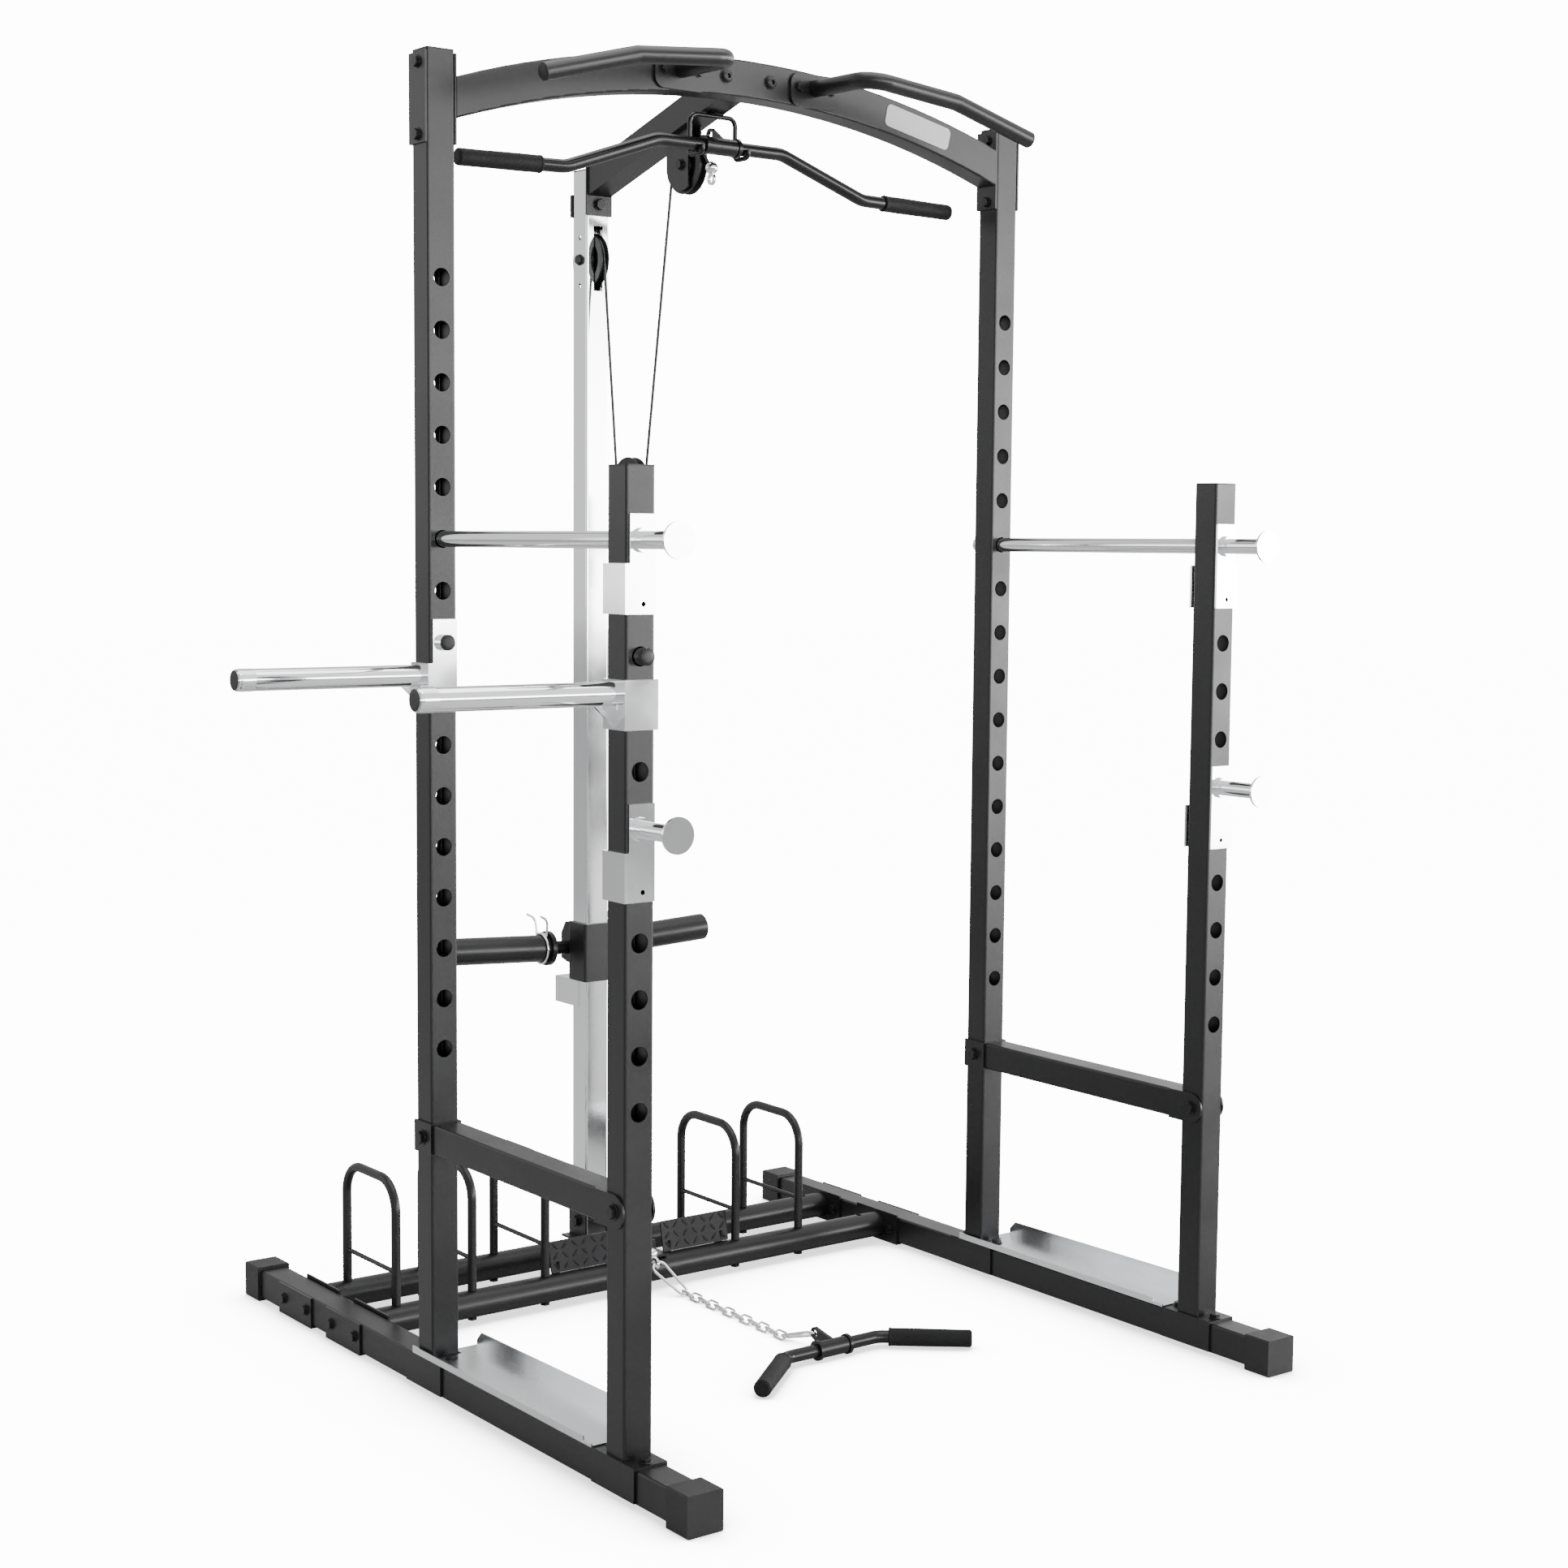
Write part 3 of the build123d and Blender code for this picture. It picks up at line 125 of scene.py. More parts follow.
def rings(paths, columns=24):
    """Points of a round skin: for each row, centre + r (cos a * side + sin a * other)."""
    centre, side, other, radius = paths
    turn = np.linspace(0, 2 * np.pi, columns, endpoint=False)
    circle = (np.cos(turn)[None, :, None] * side[:, None, :]
              + np.sin(turn)[None, :, None] * other[:, None, :])
    return centre[:, None, :] + circle * np.asarray(radius)[:, None, None]


def frames(centre):
    """Side and other vectors across a path, carried along it without twist from its first direction."""
    centre = np.asarray(centre, float)
    along = np.gradient(centre, axis=0)
    along /= np.linalg.norm(along, axis=1)[:, None]
    start = np.array([0.0, 0, 1]) if abs(along[0][2]) < 0.8 else np.array([1.0, 0, 0])
    side = start - along * (along @ start)[:, None]
    side /= np.linalg.norm(side, axis=1)[:, None]
    return side, np.cross(along, side)


def skin(centre, radius, columns=24):
    """Closed tube round a path, and its faces; the ends close on a point at each end of the path."""
    centre = np.asarray(centre, float)
    radius = np.broadcast_to(np.asarray(radius, float), (len(centre),)).copy()
    centre = np.concatenate([centre[:1], centre, centre[-1:]])
    side, other = frames(centre[1:-1])
    side = np.concatenate([side[:1], side, side[-1:]])
    other = np.concatenate([other[:1], other, other[-1:]])
    radius = np.concatenate([[radius[0] * 1e-3], radius, [radius[-1] * 1e-3]])
    points = rings((centre, side, other, radius), columns)
    rows = len(centre)
    faces = grid_faces(rows, columns)
    faces.append(list(range(columns))[::-1])
    faces.append(list(range((rows - 1) * columns, rows * columns)))
    around = np.tile(np.arange(columns) / columns, rows)
    length = np.concatenate([[0], np.cumsum(np.linalg.norm(np.diff(centre, axis=0), axis=1))])
    return points.reshape(-1, 3), faces, np.stack([around, np.repeat(length, columns)], axis=-1)


def joined(parts):
    """One list of points, faces and UVs from several."""
    points, faces, uvs, first = [], [], [], 0
    for p, f, uv in parts:
        points.append(p)
        uvs.append(uv)
        faces += [[first + i for i in face] for face in f]
        first += len(p)
    return np.concatenate(points), faces, np.concatenate(uvs)


# %% [markdown]
# ## Finishes
#
# Powder coat is a baked plastic skin with a faint orange-peel texture. A flat black would look like a
# hole in the picture, so the grain is a node group that gives a height and a slightly uneven roughness,
# and each painted, moulded or rubber material sets its own scale and strength.

# %% Shared grain
def grain_group():
    """Node group: noise at two scales gives a height for bump, a roughness and a tint factor."""
    group = bpy.data.node_groups.new("fine grain", "ShaderNodeTree")
    for name, value in (("Scale", 900.0), ("Rough low", 0.35), ("Rough high", 0.45)):
        socket = group.interface.new_socket(name, in_out="INPUT", socket_type="NodeSocketFloat")
        socket.default_value = value
    for name in ("Height", "Roughness", "Cloud"):
        group.interface.new_socket(name, in_out="OUTPUT", socket_type="NodeSocketFloat")
    tree, link = group.nodes, group.links.new
    inputs, outputs = tree.new("NodeGroupInput"), tree.new("NodeGroupOutput")
    place = tree.new("ShaderNodeTexCoord")
    peel = tree.new("ShaderNodeTexNoise")
    peel.inputs["Detail"].default_value = 2
    cloud = tree.new("ShaderNodeTexNoise")
    cloud.inputs["Scale"].default_value = 7
    cloud.inputs["Detail"].default_value = 5
    spread = tree.new("ShaderNodeMapRange")
    spread.inputs["From Min"].default_value = 0.35
    spread.inputs["From Max"].default_value = 0.65
    link(place.outputs["Object"], peel.inputs["Vector"])
    link(place.outputs["Object"], cloud.inputs["Vector"])
    link(inputs.outputs["Scale"], peel.inputs["Scale"])
    link(cloud.outputs["Fac"], spread.inputs["Value"])
    link(inputs.outputs["Rough low"], spread.inputs["To Min"])
    link(inputs.outputs["Rough high"], spread.inputs["To Max"])
    link(peel.outputs["Fac"], outputs.inputs["Height"])
    link(spread.outputs["Result"], outputs.inputs["Roughness"])
    link(cloud.outputs["Fac"], outputs.inputs["Cloud"])
    return group


GRAIN = grain_group()


def finish(name, dark, light, scale, rough, bump, metallic=0.0, coat=0.0, distance=0.0004, gloss=0.5):
    """Material whose colour drifts between two tones and whose bump and gloss come from the grain."""
    material = bpy.data.materials.new(name)
    material.use_nodes = True
    tree, link = material.node_tree.nodes, material.node_tree.links.new
    shader = tree["Principled BSDF"]
    grain = tree.new("ShaderNodeGroup")
    grain.node_tree = GRAIN
    grain.inputs["Scale"].default_value = scale
    grain.inputs["Rough low"].default_value = rough[0]
    grain.inputs["Rough high"].default_value = rough[1]
    tint = tree.new("ShaderNodeMix")
    tint.data_type = "RGBA"
    tint.inputs["A"].default_value = (*dark, 1)
    tint.inputs["B"].default_value = (*light, 1)
    relief = tree.new("ShaderNodeBump")
    relief.inputs["Strength"].default_value = bump
    relief.inputs["Distance"].default_value = distance
    link(grain.outputs["Cloud"], tint.inputs["Factor"])
    link(tint.outputs["Result"], shader.inputs["Base Color"])
    link(grain.outputs["Roughness"], shader.inputs["Roughness"])
    link(grain.outputs["Height"], relief.inputs["Height"])
    link(relief.outputs["Normal"], shader.inputs["Normal"])
    shader.inputs["Metallic"].default_value = metallic
    shader.inputs["Specular IOR Level"].default_value = gloss
    shader.inputs["Coat Weight"].default_value = coat
    shader.inputs["Coat Roughness"].default_value = 0.2
    return material


POWDER = finish("black powder coat", (0.009, 0.009, 0.010), (0.013, 0.013, 0.014), 1100,
                (0.30, 0.38), 0.16, gloss=0.36)
GLOSS = finish("glossy black powder coat", (0.008, 0.008, 0.009), (0.012, 0.012, 0.013), 900,
               (0.22, 0.3), 0.1, gloss=0.32)
TREAD = finish("painted tread plate", (0.006, 0.006, 0.007), (0.010, 0.010, 0.011), 900,
               (0.36, 0.46), 0.1, gloss=0.14)
CHROME = finish("chrome plate", (0.80, 0.81, 0.83), (0.88, 0.89, 0.90), 260, (0.05, 0.12), 0.02, 1.0)
SHEET = finish("bright sheet", (0.74, 0.76, 0.78), (0.84, 0.86, 0.87), 500, (0.2, 0.3), 0.05, 1.0)
PLASTIC = finish("moulded black plastic", (0.011, 0.011, 0.012), (0.016, 0.016, 0.017), 1500,
                 (0.42, 0.55), 0.2, gloss=0.35)
RUBBER = finish("black foam rubber", (0.010, 0.010, 0.010), (0.014, 0.014, 0.014), 2200,
                (0.6, 0.72), 0.35, gloss=0.2)
NYLON = finish("black nylon", (0.010, 0.010, 0.011), (0.014, 0.014, 0.015), 800,
               (0.3, 0.42), 0.08, gloss=0.25)
BOLT = finish("black oxide bolt", (0.018, 0.018, 0.019), (0.03, 0.03, 0.032), 700,
              (0.25, 0.36), 0.08, 0.4, gloss=0.3)
BADGE = finish("blank satin plate", (0.74, 0.74, 0.74), (0.82, 0.82, 0.82), 600, (0.25, 0.33), 0.03)
JACKET = finish("black cable jacket", (0.011, 0.011, 0.011), (0.018, 0.018, 0.018), 1600, (0.3, 0.4), 0.1)
print(len(bpy.data.materials), "materials")

# %% Finishes on the CAD pieces
chrome_nodes = """lat_tower carriage_stop bar_catch_left bar_catch_right safety_rod_left safety_rod_right
    dip_handle_front dip_handle_rear lat_cable_end row_cable_end snap_links row_chain""".split()
finish_of = {name: POWDER for name in nodes}
finish_of.update({name: CHROME for name in chrome_nodes})
finish_of.update({name: SHEET for name in ("tray_left", "tray_right")})
gloss_nodes = ("lat_bar", "lat_bar_sleeve", "row_bar", "row_bar_sleeve", "lat_bar_hooks")
finish_of.update({name: GLOSS for name in gloss_nodes})
finish_of.update({name: PLASTIC for name in ("end_caps", "tube_plugs", "horn_plugs")})
finish_of.update({name: RUBBER for name in ("carriage_bumper", "lat_bar_grips", "row_bar_grips")})
finish_of.update({name: NYLON for name in ("front_pulley", "rear_pulley", "block_pulley", "low_pulley")})
finish_of.update({name: JACKET for name in ("cable_on_pulleys", "cable_under_block")})
finish_of.update({"frame_bolts": BOLT, "badge_plate": BADGE, "foot_plates": TREAD})
for name, piece in nodes.items():
    piece.data.materials.clear()
    piece.data.materials.append(finish_of[name])
print("dressed", len(finish_of), "CAD nodes")

# %% [markdown]
# ## The cables
#
# A steel cable in a black jacket runs from the lat end over the front pulley, under the floating block,
# over the rear pulley and down to the carriage. Its straight stretches get shorter or longer as the
# machine moves; here each is a straight tube with many rings, laid between two fixed points.

# %% Cable stretches
CABLE_R = 0.0025
GROOVE = 0.044
FRONT_AXLE, REAR_AXLE = (0.152, 2.002), (0.460, 1.866)
BLOCK_AXLE, LOW_AXLE = (0.326, 1.459), (0.314, 0.112)
CARRIAGE_EYE = (0.504, 0.666)


def stretch(name, runs):
    """Straight tubes between points in the Y, Z plane: p(t) = start + t (end - start), in 120 rings."""
    t = np.linspace(0, 1, 121)[:, None]
    tubes = []
    for start, end in runs:
        a, b = np.array([0, *start]), np.array([0, *end])
        tubes.append(skin(a + t * (b - a), CABLE_R, 12))
    points, faces, uv = joined(tubes)
    cable = new_object(name.replace("cable", "taut"), points, faces, JACKET, None, uv=uv)
    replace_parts(cable, name)
    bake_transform(cable)
    return cable


def crossing(first, second):
    """Where a taut cable leaves one pulley's rear side and meets a lower pulley's front side."""
    y, z = second[0] - first[0], second[1] - first[1]
    lean = math.atan2(y, -z) - math.asin(2 * GROOVE / math.hypot(y, z))
    off = (GROOVE * math.cos(lean), GROOVE * math.sin(lean))
    return (first[0] + off[0], first[1] + off[1]), (second[0] - off[0], second[1] - off[1])


leaves_front, meets_block = crossing(FRONT_AXLE, BLOCK_AXLE)
y, z = REAR_AXLE[0] - BLOCK_AXLE[0], REAR_AXLE[1] - BLOCK_AXLE[1]
lean = math.atan2(y, z) - math.asin(2 * GROOVE / math.hypot(y, z))
leaves_block = (BLOCK_AXLE[0] + GROOVE * math.cos(lean), BLOCK_AXLE[1] - GROOVE * math.sin(lean))
meets_rear = (REAR_AXLE[0] - GROOVE * math.cos(lean), REAR_AXLE[1] + GROOVE * math.sin(lean))
stretch("cable_to_block", [(leaves_front, meets_block), (meets_rear, leaves_block)])
stretch("cable_to_carriage", [((REAR_AXLE[0] + GROOVE, REAR_AXLE[1]), CARRIAGE_EYE)])
lat_low, lat_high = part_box("cable_to_lat_end")
inset = (0.0018, 0.0017)
lat_start = (lat_high[1] - inset[0], lat_high[2] - inset[1])
lat_stop = (lat_low[1] + inset[0], lat_low[2] + inset[1])
stretch("cable_to_lat_end", [(lat_start, lat_stop)])
drop_low, drop_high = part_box("cable_to_low_pulley")
drop_start, drop_stop = (drop_high[1] - CABLE_R, drop_low[2]), (drop_low[1] + CABLE_R, drop_high[2])
stretch("cable_to_low_pulley", [(drop_start, drop_stop)])
row_low, row_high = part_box("cable_to_row_end")
stretch("cable_to_row_end", [((row_high[1], LOW_AXLE[1] - GROOVE), (row_low[1], LOW_AXLE[1] - GROOVE))])
print("cable stretches made")

# %% [markdown]
# ## Tread on the foot plates
#
# Tread plate has rows of raised lozenges that lie at right angles to their neighbours. Each lozenge is a
# low lens: a small grid whose height falls away as one minus the square of the distance from its middle,
# repeated over the plate as one array.

# %% Raised lozenges
def lozenges(name, side):
    """Lens h(u, v) = rise (1 - u^2 - v^2) on an ellipse, turned by +45 or -45 degrees and repeated."""
    rise, long, wide, step = 0.0013, 0.0090, 0.0026, 0.0178
    lean = math.radians(12)
    base = np.array([side * 0.120, 0.284, 0.056])
    across = np.array([1.0, 0, 0])
    upward = np.array([0, math.sin(lean), math.cos(lean)])
    outward = np.array([0, -math.cos(lean), math.sin(lean)])
    columns, rows = np.meshgrid(np.arange(-3, 4), np.arange(0, 3), indexing="ij")
    places = np.stack([columns.ravel() * step * 1.15, rows.ravel() * step + 0.0110], axis=-1)
    turn = np.where((columns + rows).ravel() % 2 == 0, 1.0, -1.0) * math.pi / 4
    around = np.linspace(0, 2 * np.pi, 10, endpoint=False)
    ring = np.array([1.0, 0.72, 0.36])
    u = (ring[:, None] * np.cos(around)).ravel()
    v = (ring[:, None] * np.sin(around)).ravel()
    height = np.repeat(1 - ring ** 2, len(around)) * rise - 0.0002
    flat = np.stack([u * long, v * wide], axis=-1)
    c, s = np.cos(turn), np.sin(turn)
    x = c[:, None] * flat[:, 0] - s[:, None] * flat[:, 1] + places[:, :1]
    y = s[:, None] * flat[:, 0] + c[:, None] * flat[:, 1] + places[:, 1:]
    h = np.broadcast_to(height, x.shape)
    plate = base + outward * 0.003
    points = plate + x[..., None] * across + y[..., None] * upward + h[..., None] * outward
    one = grid_faces(3, 10)
    one.append(list(range(20, 30)))
    one.append(list(range(10))[::-1])
    faces = [[i + 30 * k for i in face] for k in range(len(places)) for face in one]
    made = new_object(name, points, faces, TREAD, "cage")
    return made


for side, label in ((-1, "left"), (1, "right")):
    lozenges(f"tread_{label}", side)
print("tread pressed into the foot plates")

# %% [markdown]
# ## Wire clips on the weight horns
#
# A spring clip is one length of round wire: it goes one and a third turns round the horn and both ends
# stand up as finger handles. Its line is worked out as points, and a round skin is carried along it.

# %% Spring clips
HORN_TILT = math.radians(3)


def horn_frame(side):
    """Direction along a horn and the two directions across it, upward and rearward."""
    along = np.array([side * math.cos(HORN_TILT), 0, math.sin(HORN_TILT)])
    rear = np.array([0, 1.0, 0])
    upward = np.cross(along, rear) * side
    return along, upward, rear


def rounded(points, cut=0.25):
    """Polyline with its corners eased: Chaikin's corner cutting, done three times."""
    line = np.asarray(points, float)
    for _ in range(3):
        a, b = line[:-1], line[1:]
        inner = np.stack([a + cut * (b - a), b - cut * (b - a)], axis=1).reshape(-1, 3)
        line = np.concatenate([line[:1], inner, line[-1:]])
    return line


def spring_clip(name, side, body):
    """Helix c + r (cos a * up + sin a * rear) + pitch * a, with two straight handles."""
    along, upward, rear = horn_frame(side)
    wire, ring = 0.0023, 0.0277
    middle = np.array([0, 0.508, 0.598]) + along * 0.0775
    turn = np.linspace(math.radians(-28), math.radians(388), 120)
    pitch = 0.0058 * (turn - turn[0]) / (turn[-1] - turn[0])
    coil = (middle + np.cos(turn)[:, None] * upward * ring + np.sin(turn)[:, None] * rear * ring
            + (pitch - 0.003)[:, None] * along)
    handles = []
    for end, way in ((coil[0], -1), (coil[-1], 1)):
        knee = end + upward * 0.030 + rear * way * 0.004 + along * 0.002
        tip = knee + upward * 0.008 + rear * way * 0.003 + along * 0.017
        handles.append((knee, tip))
    lower = rounded([handles[0][1], handles[0][0], coil[0] + upward * 0.004, coil[0]])
    upper = rounded([coil[-1], coil[-1] + upward * 0.004, handles[1][0], handles[1][1]])
    line = np.concatenate([lower[:-1], coil, upper[1:]])
    points, faces, uv = skin(line, wire, 12)
    made = new_object(name, points, faces, CHROME, body, uv=uv)
    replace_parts(made, f"spring_{name}")


for side, label in ((-1, "left"), (1, "right")):
    spring_clip(f"clip_{label}", side, f"clip_{label}")
print("spring clips wound")

# %% [markdown]
# ## Bolts, nuts and washers
#
# A bolt head is a hexagon whose corners are cut by a cone. As a surface it is a stack of rings: each
# ring's radius follows the hexagon, r(a) = flat / cos(a folded into a sixth of a turn), but never goes
# beyond the cone, so the corners come out rounded off as on a real one.

# %% Bolt shapes
def hex_stack(origin, axis, flat, depth, bore=0.0):
    """Hexagonal solid from origin along axis, with its far corners cut by a cone."""
    axis = np.asarray(axis, float)
    seed = np.array([0, 0, 1.0]) if abs(axis[2]) < 0.8 else np.array([1.0, 0, 0])
    side = np.cross(axis, seed)
    side /= np.linalg.norm(side)
    other = np.cross(axis, side)
    turn = np.linspace(0, 2 * np.pi, 36, endpoint=False)
    fold = (turn + np.pi / 6) % (np.pi / 3) - np.pi / 6
    corner = flat / np.cos(fold)
    cone = flat * np.array([0.0, 0.90, 1.0, 1.155, 1.155, 1.155])
    level = depth * np.array([1.0, 1.0, 0.985, 0.90, 0.06, 0.0])
    radius = np.minimum(corner[None, :], cone[:, None])
    points = (np.asarray(origin) + level[:, None, None] * axis
              + radius[..., None] * (np.cos(turn)[:, None] * side + np.sin(turn)[:, None] * other))
    faces = grid_faces(6, 36, flip=True)
    faces.append(list(range(5 * 36, 6 * 36))[::-1])
    return points.reshape(-1, 3), faces, np.zeros((6 * 36, 2))


def turned(origin, axis, outline, columns=32):
    """Surface of revolution: rings at height h and radius r, with (h, r) from the outline."""
    axis = np.asarray(axis, float)
    seed = np.array([0, 0, 1.0]) if abs(axis[2]) < 0.8 else np.array([1.0, 0, 0])
    side = np.cross(axis, seed)
    side /= np.linalg.norm(side)
    other = np.cross(axis, side)
    height, radius = np.array(outline, float).T
    centre = np.asarray(origin, float) + height[:, None] * axis
    rows = len(height)
    points = rings((centre, np.tile(side, (rows, 1)), np.tile(other, (rows, 1)), radius), columns)
    faces = grid_faces(rows, columns, flip=False)
    faces.append(list(range(columns))[::-1])
    faces.append(list(range((rows - 1) * columns, rows * columns)))
    return points.reshape(-1, 3), faces, np.zeros((rows * columns, 2))


WASHER = 0.0014


def through_bolt(at, along, grip, shank=0.005, socket=False):
    """Washer, head, shank, second washer and nut of one bolt."""
    at, along = np.asarray(at, float), np.asarray(along, float)
    head, depth = 1.7 * shank, 1.3 * shank
    back = -along
    washer = [(0, shank * 0.9), (0, head * 1.16), (0.0008, head * 1.2), (WASHER, head * 1.18),
              (0.0015, shank * 0.9)]
    pieces = [turned(at, back, washer)]
    if socket:
        dome = [(WASHER, shank), (WASHER, head), (depth * 0.5, head), (depth * 0.8, head * 0.86),
                (depth * 0.95, head * 0.62), (depth * 0.96, head * 0.40), (depth * 0.5, head * 0.38),
                (depth * 0.5, 0.0001)]
        pieces.append(turned(at, back, dome))
    else:
        pieces.append(hex_stack(at + back * WASHER, back, head * 0.87, depth - WASHER))
    stem = [(-0.001, shank * 0.01), (-0.001, shank), (grip, shank), (grip, shank * 0.01)]
    pieces.append(turned(at, along, stem, 16))
    end = at + along * grip
    pieces.append(turned(end, along, washer))
    pieces.append(hex_stack(end + along * WASHER, along, head * 0.87, depth - WASHER))
    return pieces


# %% Every bolt of the cage
HALF, PLATE, POST_X, FRONT_Y = 0.024, 0.0035, 0.5775, -0.554
RAIL_TOP, RAIL_MID, RAIL = 0.0555, 0.0305, 0.050
BEAM_Z, TRAY_LIP, PEG_Z = 0.415, 0.002, 1.198


def cage_bolts():
    """Place, direction, grip, shank radius and socket head of each bolt, from the frame's own sizes."""
    bolts = []
    for side in (-1, 1):
        inward = (-side, 0, 0)
        outer = side * (POST_X + HALF + PLATE)
        clamp = side * (POST_X + RAIL / 2 + PLATE)
        for y in (0.0, FRONT_Y):
            for step in (-0.042, 0.042):
                top = RAIL_TOP + PLATE + (TRAY_LIP if y == 0.0 and step < 0 else 0.0)
                grip = top - RAIL_TOP + 0.0025
                bolts.append(((side * POST_X, y + step, top), (0, 0, -1), grip, 0.005, False))
            bolts.append(((outer, y, BEAM_Z), inward, 2 * HALF + 2 * PLATE, 0.006, False))
        for z in (1.973, 2.082):
            bolts.append(((outer, 0, z), inward, 2 * HALF + 2 * PLATE, 0.005, False))
        for y in (0.280, 0.460):
            for step in (-0.042, 0.042):
                bolts.append(((clamp, y + step, RAIL_MID), inward, RAIL + 2 * PLATE, 0.005, False))
        bolts.append(((side * 0.045, -0.025, 2.122), (0, 1, 0), 0.054, 0.006, True))
        for step in (-0.034, 0.034):
            bolts.append(((side * 0.137 + step, -0.030, 2.122), (0, 1, 0), 0.055, 0.005, False))
    bolts.append(((0, 0.432, 1.964), (0, 1, 0), 0.056, 0.006, False))
    bolts.append(((-0.028, 0.460, 0.088), (1, 0, 0), 0.056, 0.006, False))
    bolts.append(((-0.014, *FRONT_AXLE), (1, 0, 0), 0.028, 0.005, False))
    bolts.append(((-0.024, *REAR_AXLE), (1, 0, 0), 0.048, 0.005, False))
    bolts.append(((-0.014, *LOW_AXLE), (1, 0, 0), 0.028, 0.005, False))
    return bolts


points, faces, uv = joined([piece for bolt in cage_bolts() for piece in through_bolt(*bolt)])
bolt_set = new_object("bolts_and_nuts", points, faces, BOLT, "cage", smooth=False)
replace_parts(bolt_set, "frame_bolts")
print(len(cage_bolts()), "bolts")

# %% [markdown]
# ## Plugs and bands on the dip bars
#
# The dip bars are chromed tubes. Each one ends in a black plastic cap with a rounded rim, beside a narrow
# band of fine grooves in the chrome. The pegs end in small plugs too. All are turned shapes: an outline for
# each cap and plug, and a band whose radius ripples along the bar.

# %% Dip bar ends
DIP_R, DIP_END, DIP_Z = 0.017, -0.912, 1.146


def dip_end(label, y):
    """Band: r(x) = R + depth (0.5 - 0.5 cos 2 pi x / pitch), turned about the bar, and a turned cap."""
    x = np.linspace(0.003, 0.025, 89)
    ripple = DIP_R + 0.0001 + 0.0003 * (0.5 - 0.5 * np.cos(2 * np.pi * (x - x[0]) / 0.002))
    points, faces, uv = turned((DIP_END, y, DIP_Z), (1, 0, 0), np.stack([x, ripple], axis=-1), 40)
    band = new_object(f"dip_band_{label}", points, faces, CHROME, f"dip_{label}")
    outline = [(-0.001, 0.0001), (-0.001, DIP_R - 0.0008), (0.0, DIP_R - 0.0008), (0.0014, DIP_R - 0.0010),
               (0.0030, DIP_R - 0.0014), (0.0034, DIP_R - 0.0022), (0.00345, 0.008), (0.00345, 0.0001)]
    points, faces, uv = turned((DIP_END, y, DIP_Z), (-1, 0, 0), outline, 40)
    cap = new_object(f"dip_cap_{label}", points, faces, PLASTIC, f"dip_{label}")


def peg_plug(label, y):
    """Small rounded plug on the front end of a dip handle's peg: an outline turned about the peg."""
    outline = [(-0.006, 0.0001), (-0.006, 0.0095), (0.0, 0.0095), (0.0, 0.0124), (0.002, 0.0124),
               (0.0038, 0.0108), (0.0045, 0.006), (0.0046, 0.0001)]
    points, faces, uv = turned((-POST_X, y, PEG_Z), (0, -1, 0), outline, 32)
    plug = new_object(f"peg_plug_{label}", points, faces, PLASTIC, f"dip_{label}")


dip_end("rear", 0.0)
dip_end("front", FRONT_Y)
peg_plug("rear", -0.0383)
peg_plug("front", FRONT_Y - 0.039)
print("dip bars finished")


# %% Pull-up bar ends
def bar_plug(label, side):
    """Rounded plug in the open outer end of a pull-up bar: an outline turned about the bar's last run."""
    start, end = np.array([side * 0.322, -0.178, 2.101]), np.array([side * 0.488, -0.178, 2.056])
    way = (end - start) / np.linalg.norm(end - start)
    outline = [(-0.012, 0.0001), (-0.012, 0.0119), (0.0, 0.0119), (0.0, 0.0141), (0.0016, 0.0141),
               (0.0030, 0.0132), (0.0038, 0.0105), (0.0040, 0.0001)]
    points, faces, uv = turned(end, way, outline, 36)
    plug = new_object(f"bar_plug_{label}", points, faces, PLASTIC, "cage")


bar_plug("left", -1)
bar_plug("right", 1)
print("pull-up bars plugged")

# %% [markdown]
# ## Rubber grips
#
# The grips are rubber tubes closed at one end. Each is a turned outline carried along the bar: a rounded
# nose, a plain length with a faint swell, and a small bead where the rubber stops.

# %% Grips on both bars
def grip(start, end, radius, bar):
    """Rings along start to end: radius with a bead at the open end and a quarter-round nose."""
    start, end = np.array(start, float), np.array(end, float)
    way = (end - start) / np.linalg.norm(end - start)
    length = np.linalg.norm(end - start) + 0.004
    nose = np.linspace(0, np.pi / 2, 9)
    outline = [(0.0, bar), (0.0, radius - 0.0012), (0.0006, radius - 0.0003), (0.0016, radius),
               (0.0040, radius), (0.0048, radius - 0.0006)]
    outline += [(h, radius - 0.0006 + 0.0002 * math.sin(h * 40))
                for h in np.linspace(0.008, length - 0.006, 24)]
    outline += [(length - 0.005 + 0.005 * math.sin(a), radius - 0.0056 + 0.005 * math.cos(a)) for a in nose]
    outline.append((length, 0.0001))
    return turned(start, way, outline, 40)


def grip_set(name, pairs, radius, body):
    """Both grips of one bar as one piece."""
    points, faces, uv = joined([grip(start, end, radius, 0.0111) for start, end in pairs])
    made = new_object(name, points, faces, RUBBER, body)
    return made


lat_pairs = [((s * 0.353, 0.055, 1.96 - 0.004 * 47 / 197), (s * 0.503, 0.055, 1.956)) for s in (-1, 1)]
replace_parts(grip_set("lat_grips", lat_pairs, 0.0145, "lat_grip_bar"), "lat_bar_grips")
row_pairs = [((0.034 + s * 0.112, -0.241 - 0.1 * 14 / 120, 0.017), (0.034 + s * 0.218, -0.341, 0.017))
             for s in (-1, 1)]
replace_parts(grip_set("row_grips", row_pairs, 0.0155, "row_grip_bar"), "row_bar_grips")
print("grips pushed on")

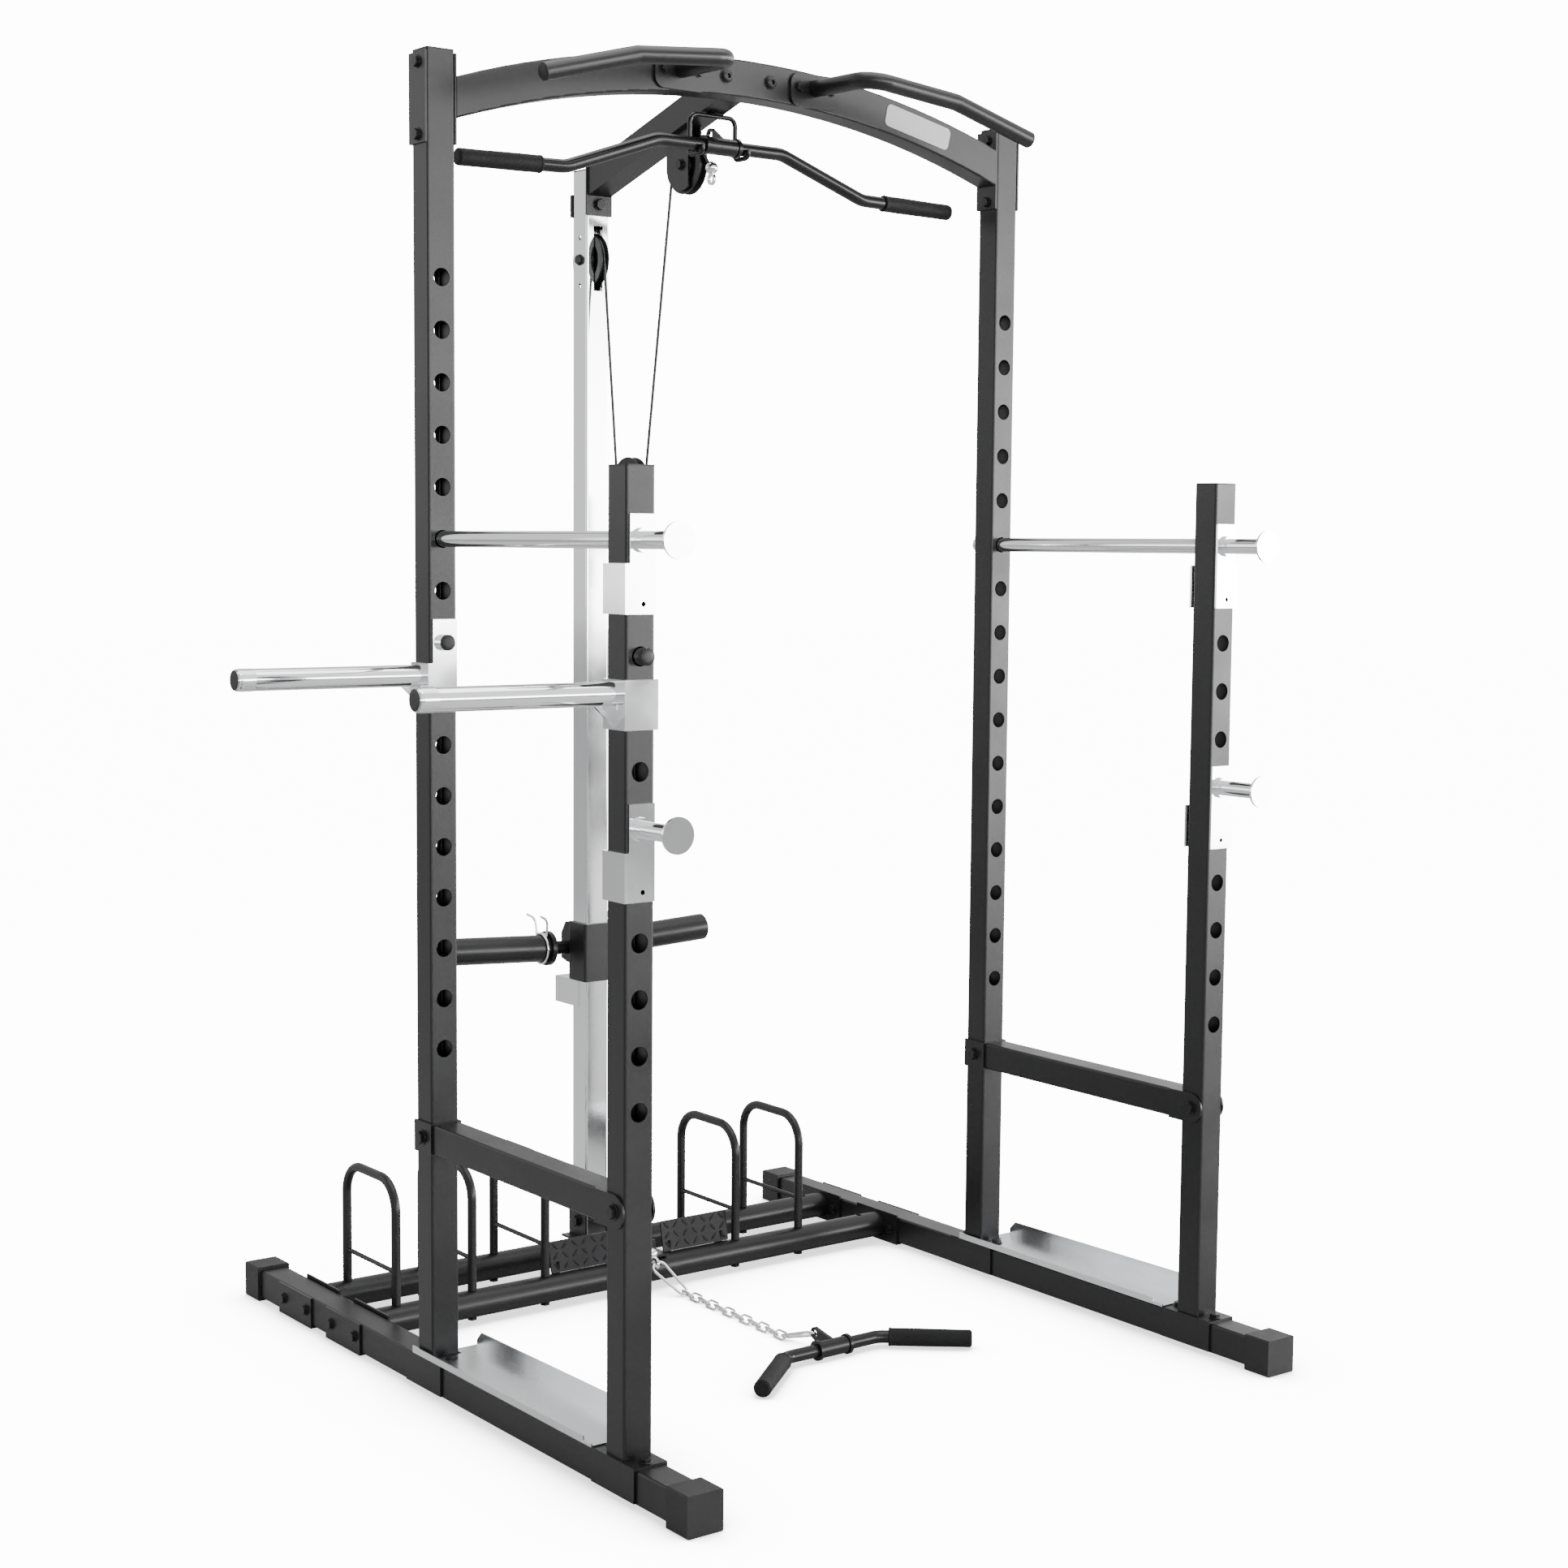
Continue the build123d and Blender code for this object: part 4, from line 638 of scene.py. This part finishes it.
# %% [markdown]
# ## Floor and surroundings
#
# A product on white paper has a ground that is white to the camera, yet doesn't flood the black paint
# with light. So the floor and the world are bright for camera rays only. Near the object the floor's glow
# falls off with ambient occlusion, which leaves a soft contact shadow. Diffuse rays see an even, dim
# world. Mirror rays see a bright card low on the front right: card(d) = smooth(d . c) * smooth(|d_z|), so
# the posts' front faces shine in the middle and fade towards their ends.

# %% Floor
FLOOR_NEAR, FLOOR_GLOW, WORLD_WHITE = 1.6, 13.2, 14.0


def level(tree, source, span, result, smooth=False):
    """Map-range node from a span of the source to a span of results."""
    node = tree.new("ShaderNodeMapRange")
    if smooth:
        node.interpolation_type = "SMOOTHSTEP"
    for socket, value in zip(("From Min", "From Max", "To Min", "To Max"), (*span, *result)):
        node.inputs[socket].default_value = value
    node.id_data.links.new(source, node.inputs["Value"])
    return node.outputs["Result"]


bpy.ops.mesh.primitive_plane_add(size=60, location=(0, 0, 0))
floor = bpy.context.object
floor.name = "studio_floor"
floor_paint = finish("pale floor", (0.86, 0.86, 0.86), (0.88, 0.88, 0.88), 40, (0.7, 0.8), 0.0)
tree, link = floor_paint.node_tree.nodes, floor_paint.node_tree.links.new
glow, seen = tree.new("ShaderNodeEmission"), tree.new("ShaderNodeLightPath")
both, strength = tree.new("ShaderNodeAddShader"), tree.new("ShaderNodeMath")
strength.operation = "MULTIPLY"
near = tree.new("ShaderNodeAmbientOcclusion")
near.inputs["Distance"].default_value = 0.20
link(seen.outputs["Is Camera Ray"], strength.inputs[0])
link(level(tree, near.outputs["AO"], (0.5, 0.98), (FLOOR_NEAR, FLOOR_GLOW)), strength.inputs[1])
link(strength.outputs["Value"], glow.inputs["Strength"])
link(tree["Principled BSDF"].outputs["BSDF"], both.inputs[0])
link(glow.outputs["Emission"], both.inputs[1])
link(both.outputs["Shader"], tree["Material Output"].inputs["Surface"])
floor.data.materials.append(floor_paint)
print("floor laid")

# %% World
world = bpy.data.worlds.new("studio")
bpy.context.scene.world = world
world.use_nodes = True
tree, link = world.node_tree.nodes, world.node_tree.links.new
backdrop, surround = tree["Background"], tree.new("ShaderNodeBackground")
backdrop.inputs["Color"].default_value = (1, 1, 1, 1)
backdrop.inputs["Strength"].default_value = WORLD_WHITE
surround.inputs["Color"].default_value = (1, 1, 1, 1)
around, seen = tree.new("ShaderNodeTexCoord"), tree.new("ShaderNodeLightPath")
toward_card, direction = tree.new("ShaderNodeVectorMath"), tree.new("ShaderNodeSeparateXYZ")
toward_card.operation = "DOT_PRODUCT"
toward_card.inputs[1].default_value = (0.72, -0.68, 0.12)
height_off, card_light = tree.new("ShaderNodeMath"), tree.new("ShaderNodeMath")
height_off.operation = "ABSOLUTE"
card_light.operation = "MULTIPLY_ADD"
card_light.inputs[2].default_value = 1.0
link(around.outputs["Generated"], toward_card.inputs[0])
link(around.outputs["Generated"], direction.inputs["Vector"])
link(direction.outputs["Z"], height_off.inputs[0])
link(level(tree, toward_card.outputs["Value"], (-0.25, 0.75), (0.0, 14.0), True), card_light.inputs[0])
link(level(tree, height_off.outputs["Value"], (0.0, 0.24), (1.0, 0.04), True), card_light.inputs[1])
by_ray, pick = tree.new("ShaderNodeMix"), tree.new("ShaderNodeMixShader")
by_ray.inputs["A"].default_value = 0.5
link(seen.outputs["Is Glossy Ray"], by_ray.inputs["Factor"])
link(card_light.outputs["Value"], by_ray.inputs["B"])
link(by_ray.outputs["Result"], surround.inputs["Strength"])
link(seen.outputs["Is Camera Ray"], pick.inputs["Fac"])
link(surround.outputs["Background"], pick.inputs[1])
link(backdrop.outputs["Background"], pick.inputs[2])
link(pick.outputs["Shader"], tree["World Output"].inputs["Surface"])
print("world set:", len(tree), "nodes")

# %% [markdown]
# ## Lamps
#
# Large area lights give soft edges. The strongest stands to the front right, a weak one behind on the left
# opens the dark side faces, and one overhead lights the tops of the rails and trays.

# %% Lamps
def lamp(name, at, towards, size, power):
    """Square area light that faces a point."""
    data = bpy.data.lights.new(name, "AREA")
    data.size, data.energy = size, power
    light = bpy.data.objects.new(name, data)
    light.location = at
    light.rotation_euler = (Vector(towards) - Vector(at)).to_track_quat("-Z", "Y").to_euler()
    bpy.context.scene.collection.objects.link(light)


lamp("right_card", (4.6, -4.2, 1.2), (0.2, -0.4, 1.1), 2.0, 190)
lamp("left_card", (-3.8, 2.8, 2.2), (0, 0, 1.2), 2.2, 25)
lamp("top", (0.3, -0.6, 4.6), (0, -0.2, 1.0), 3.4, 110)
print("lamps set")
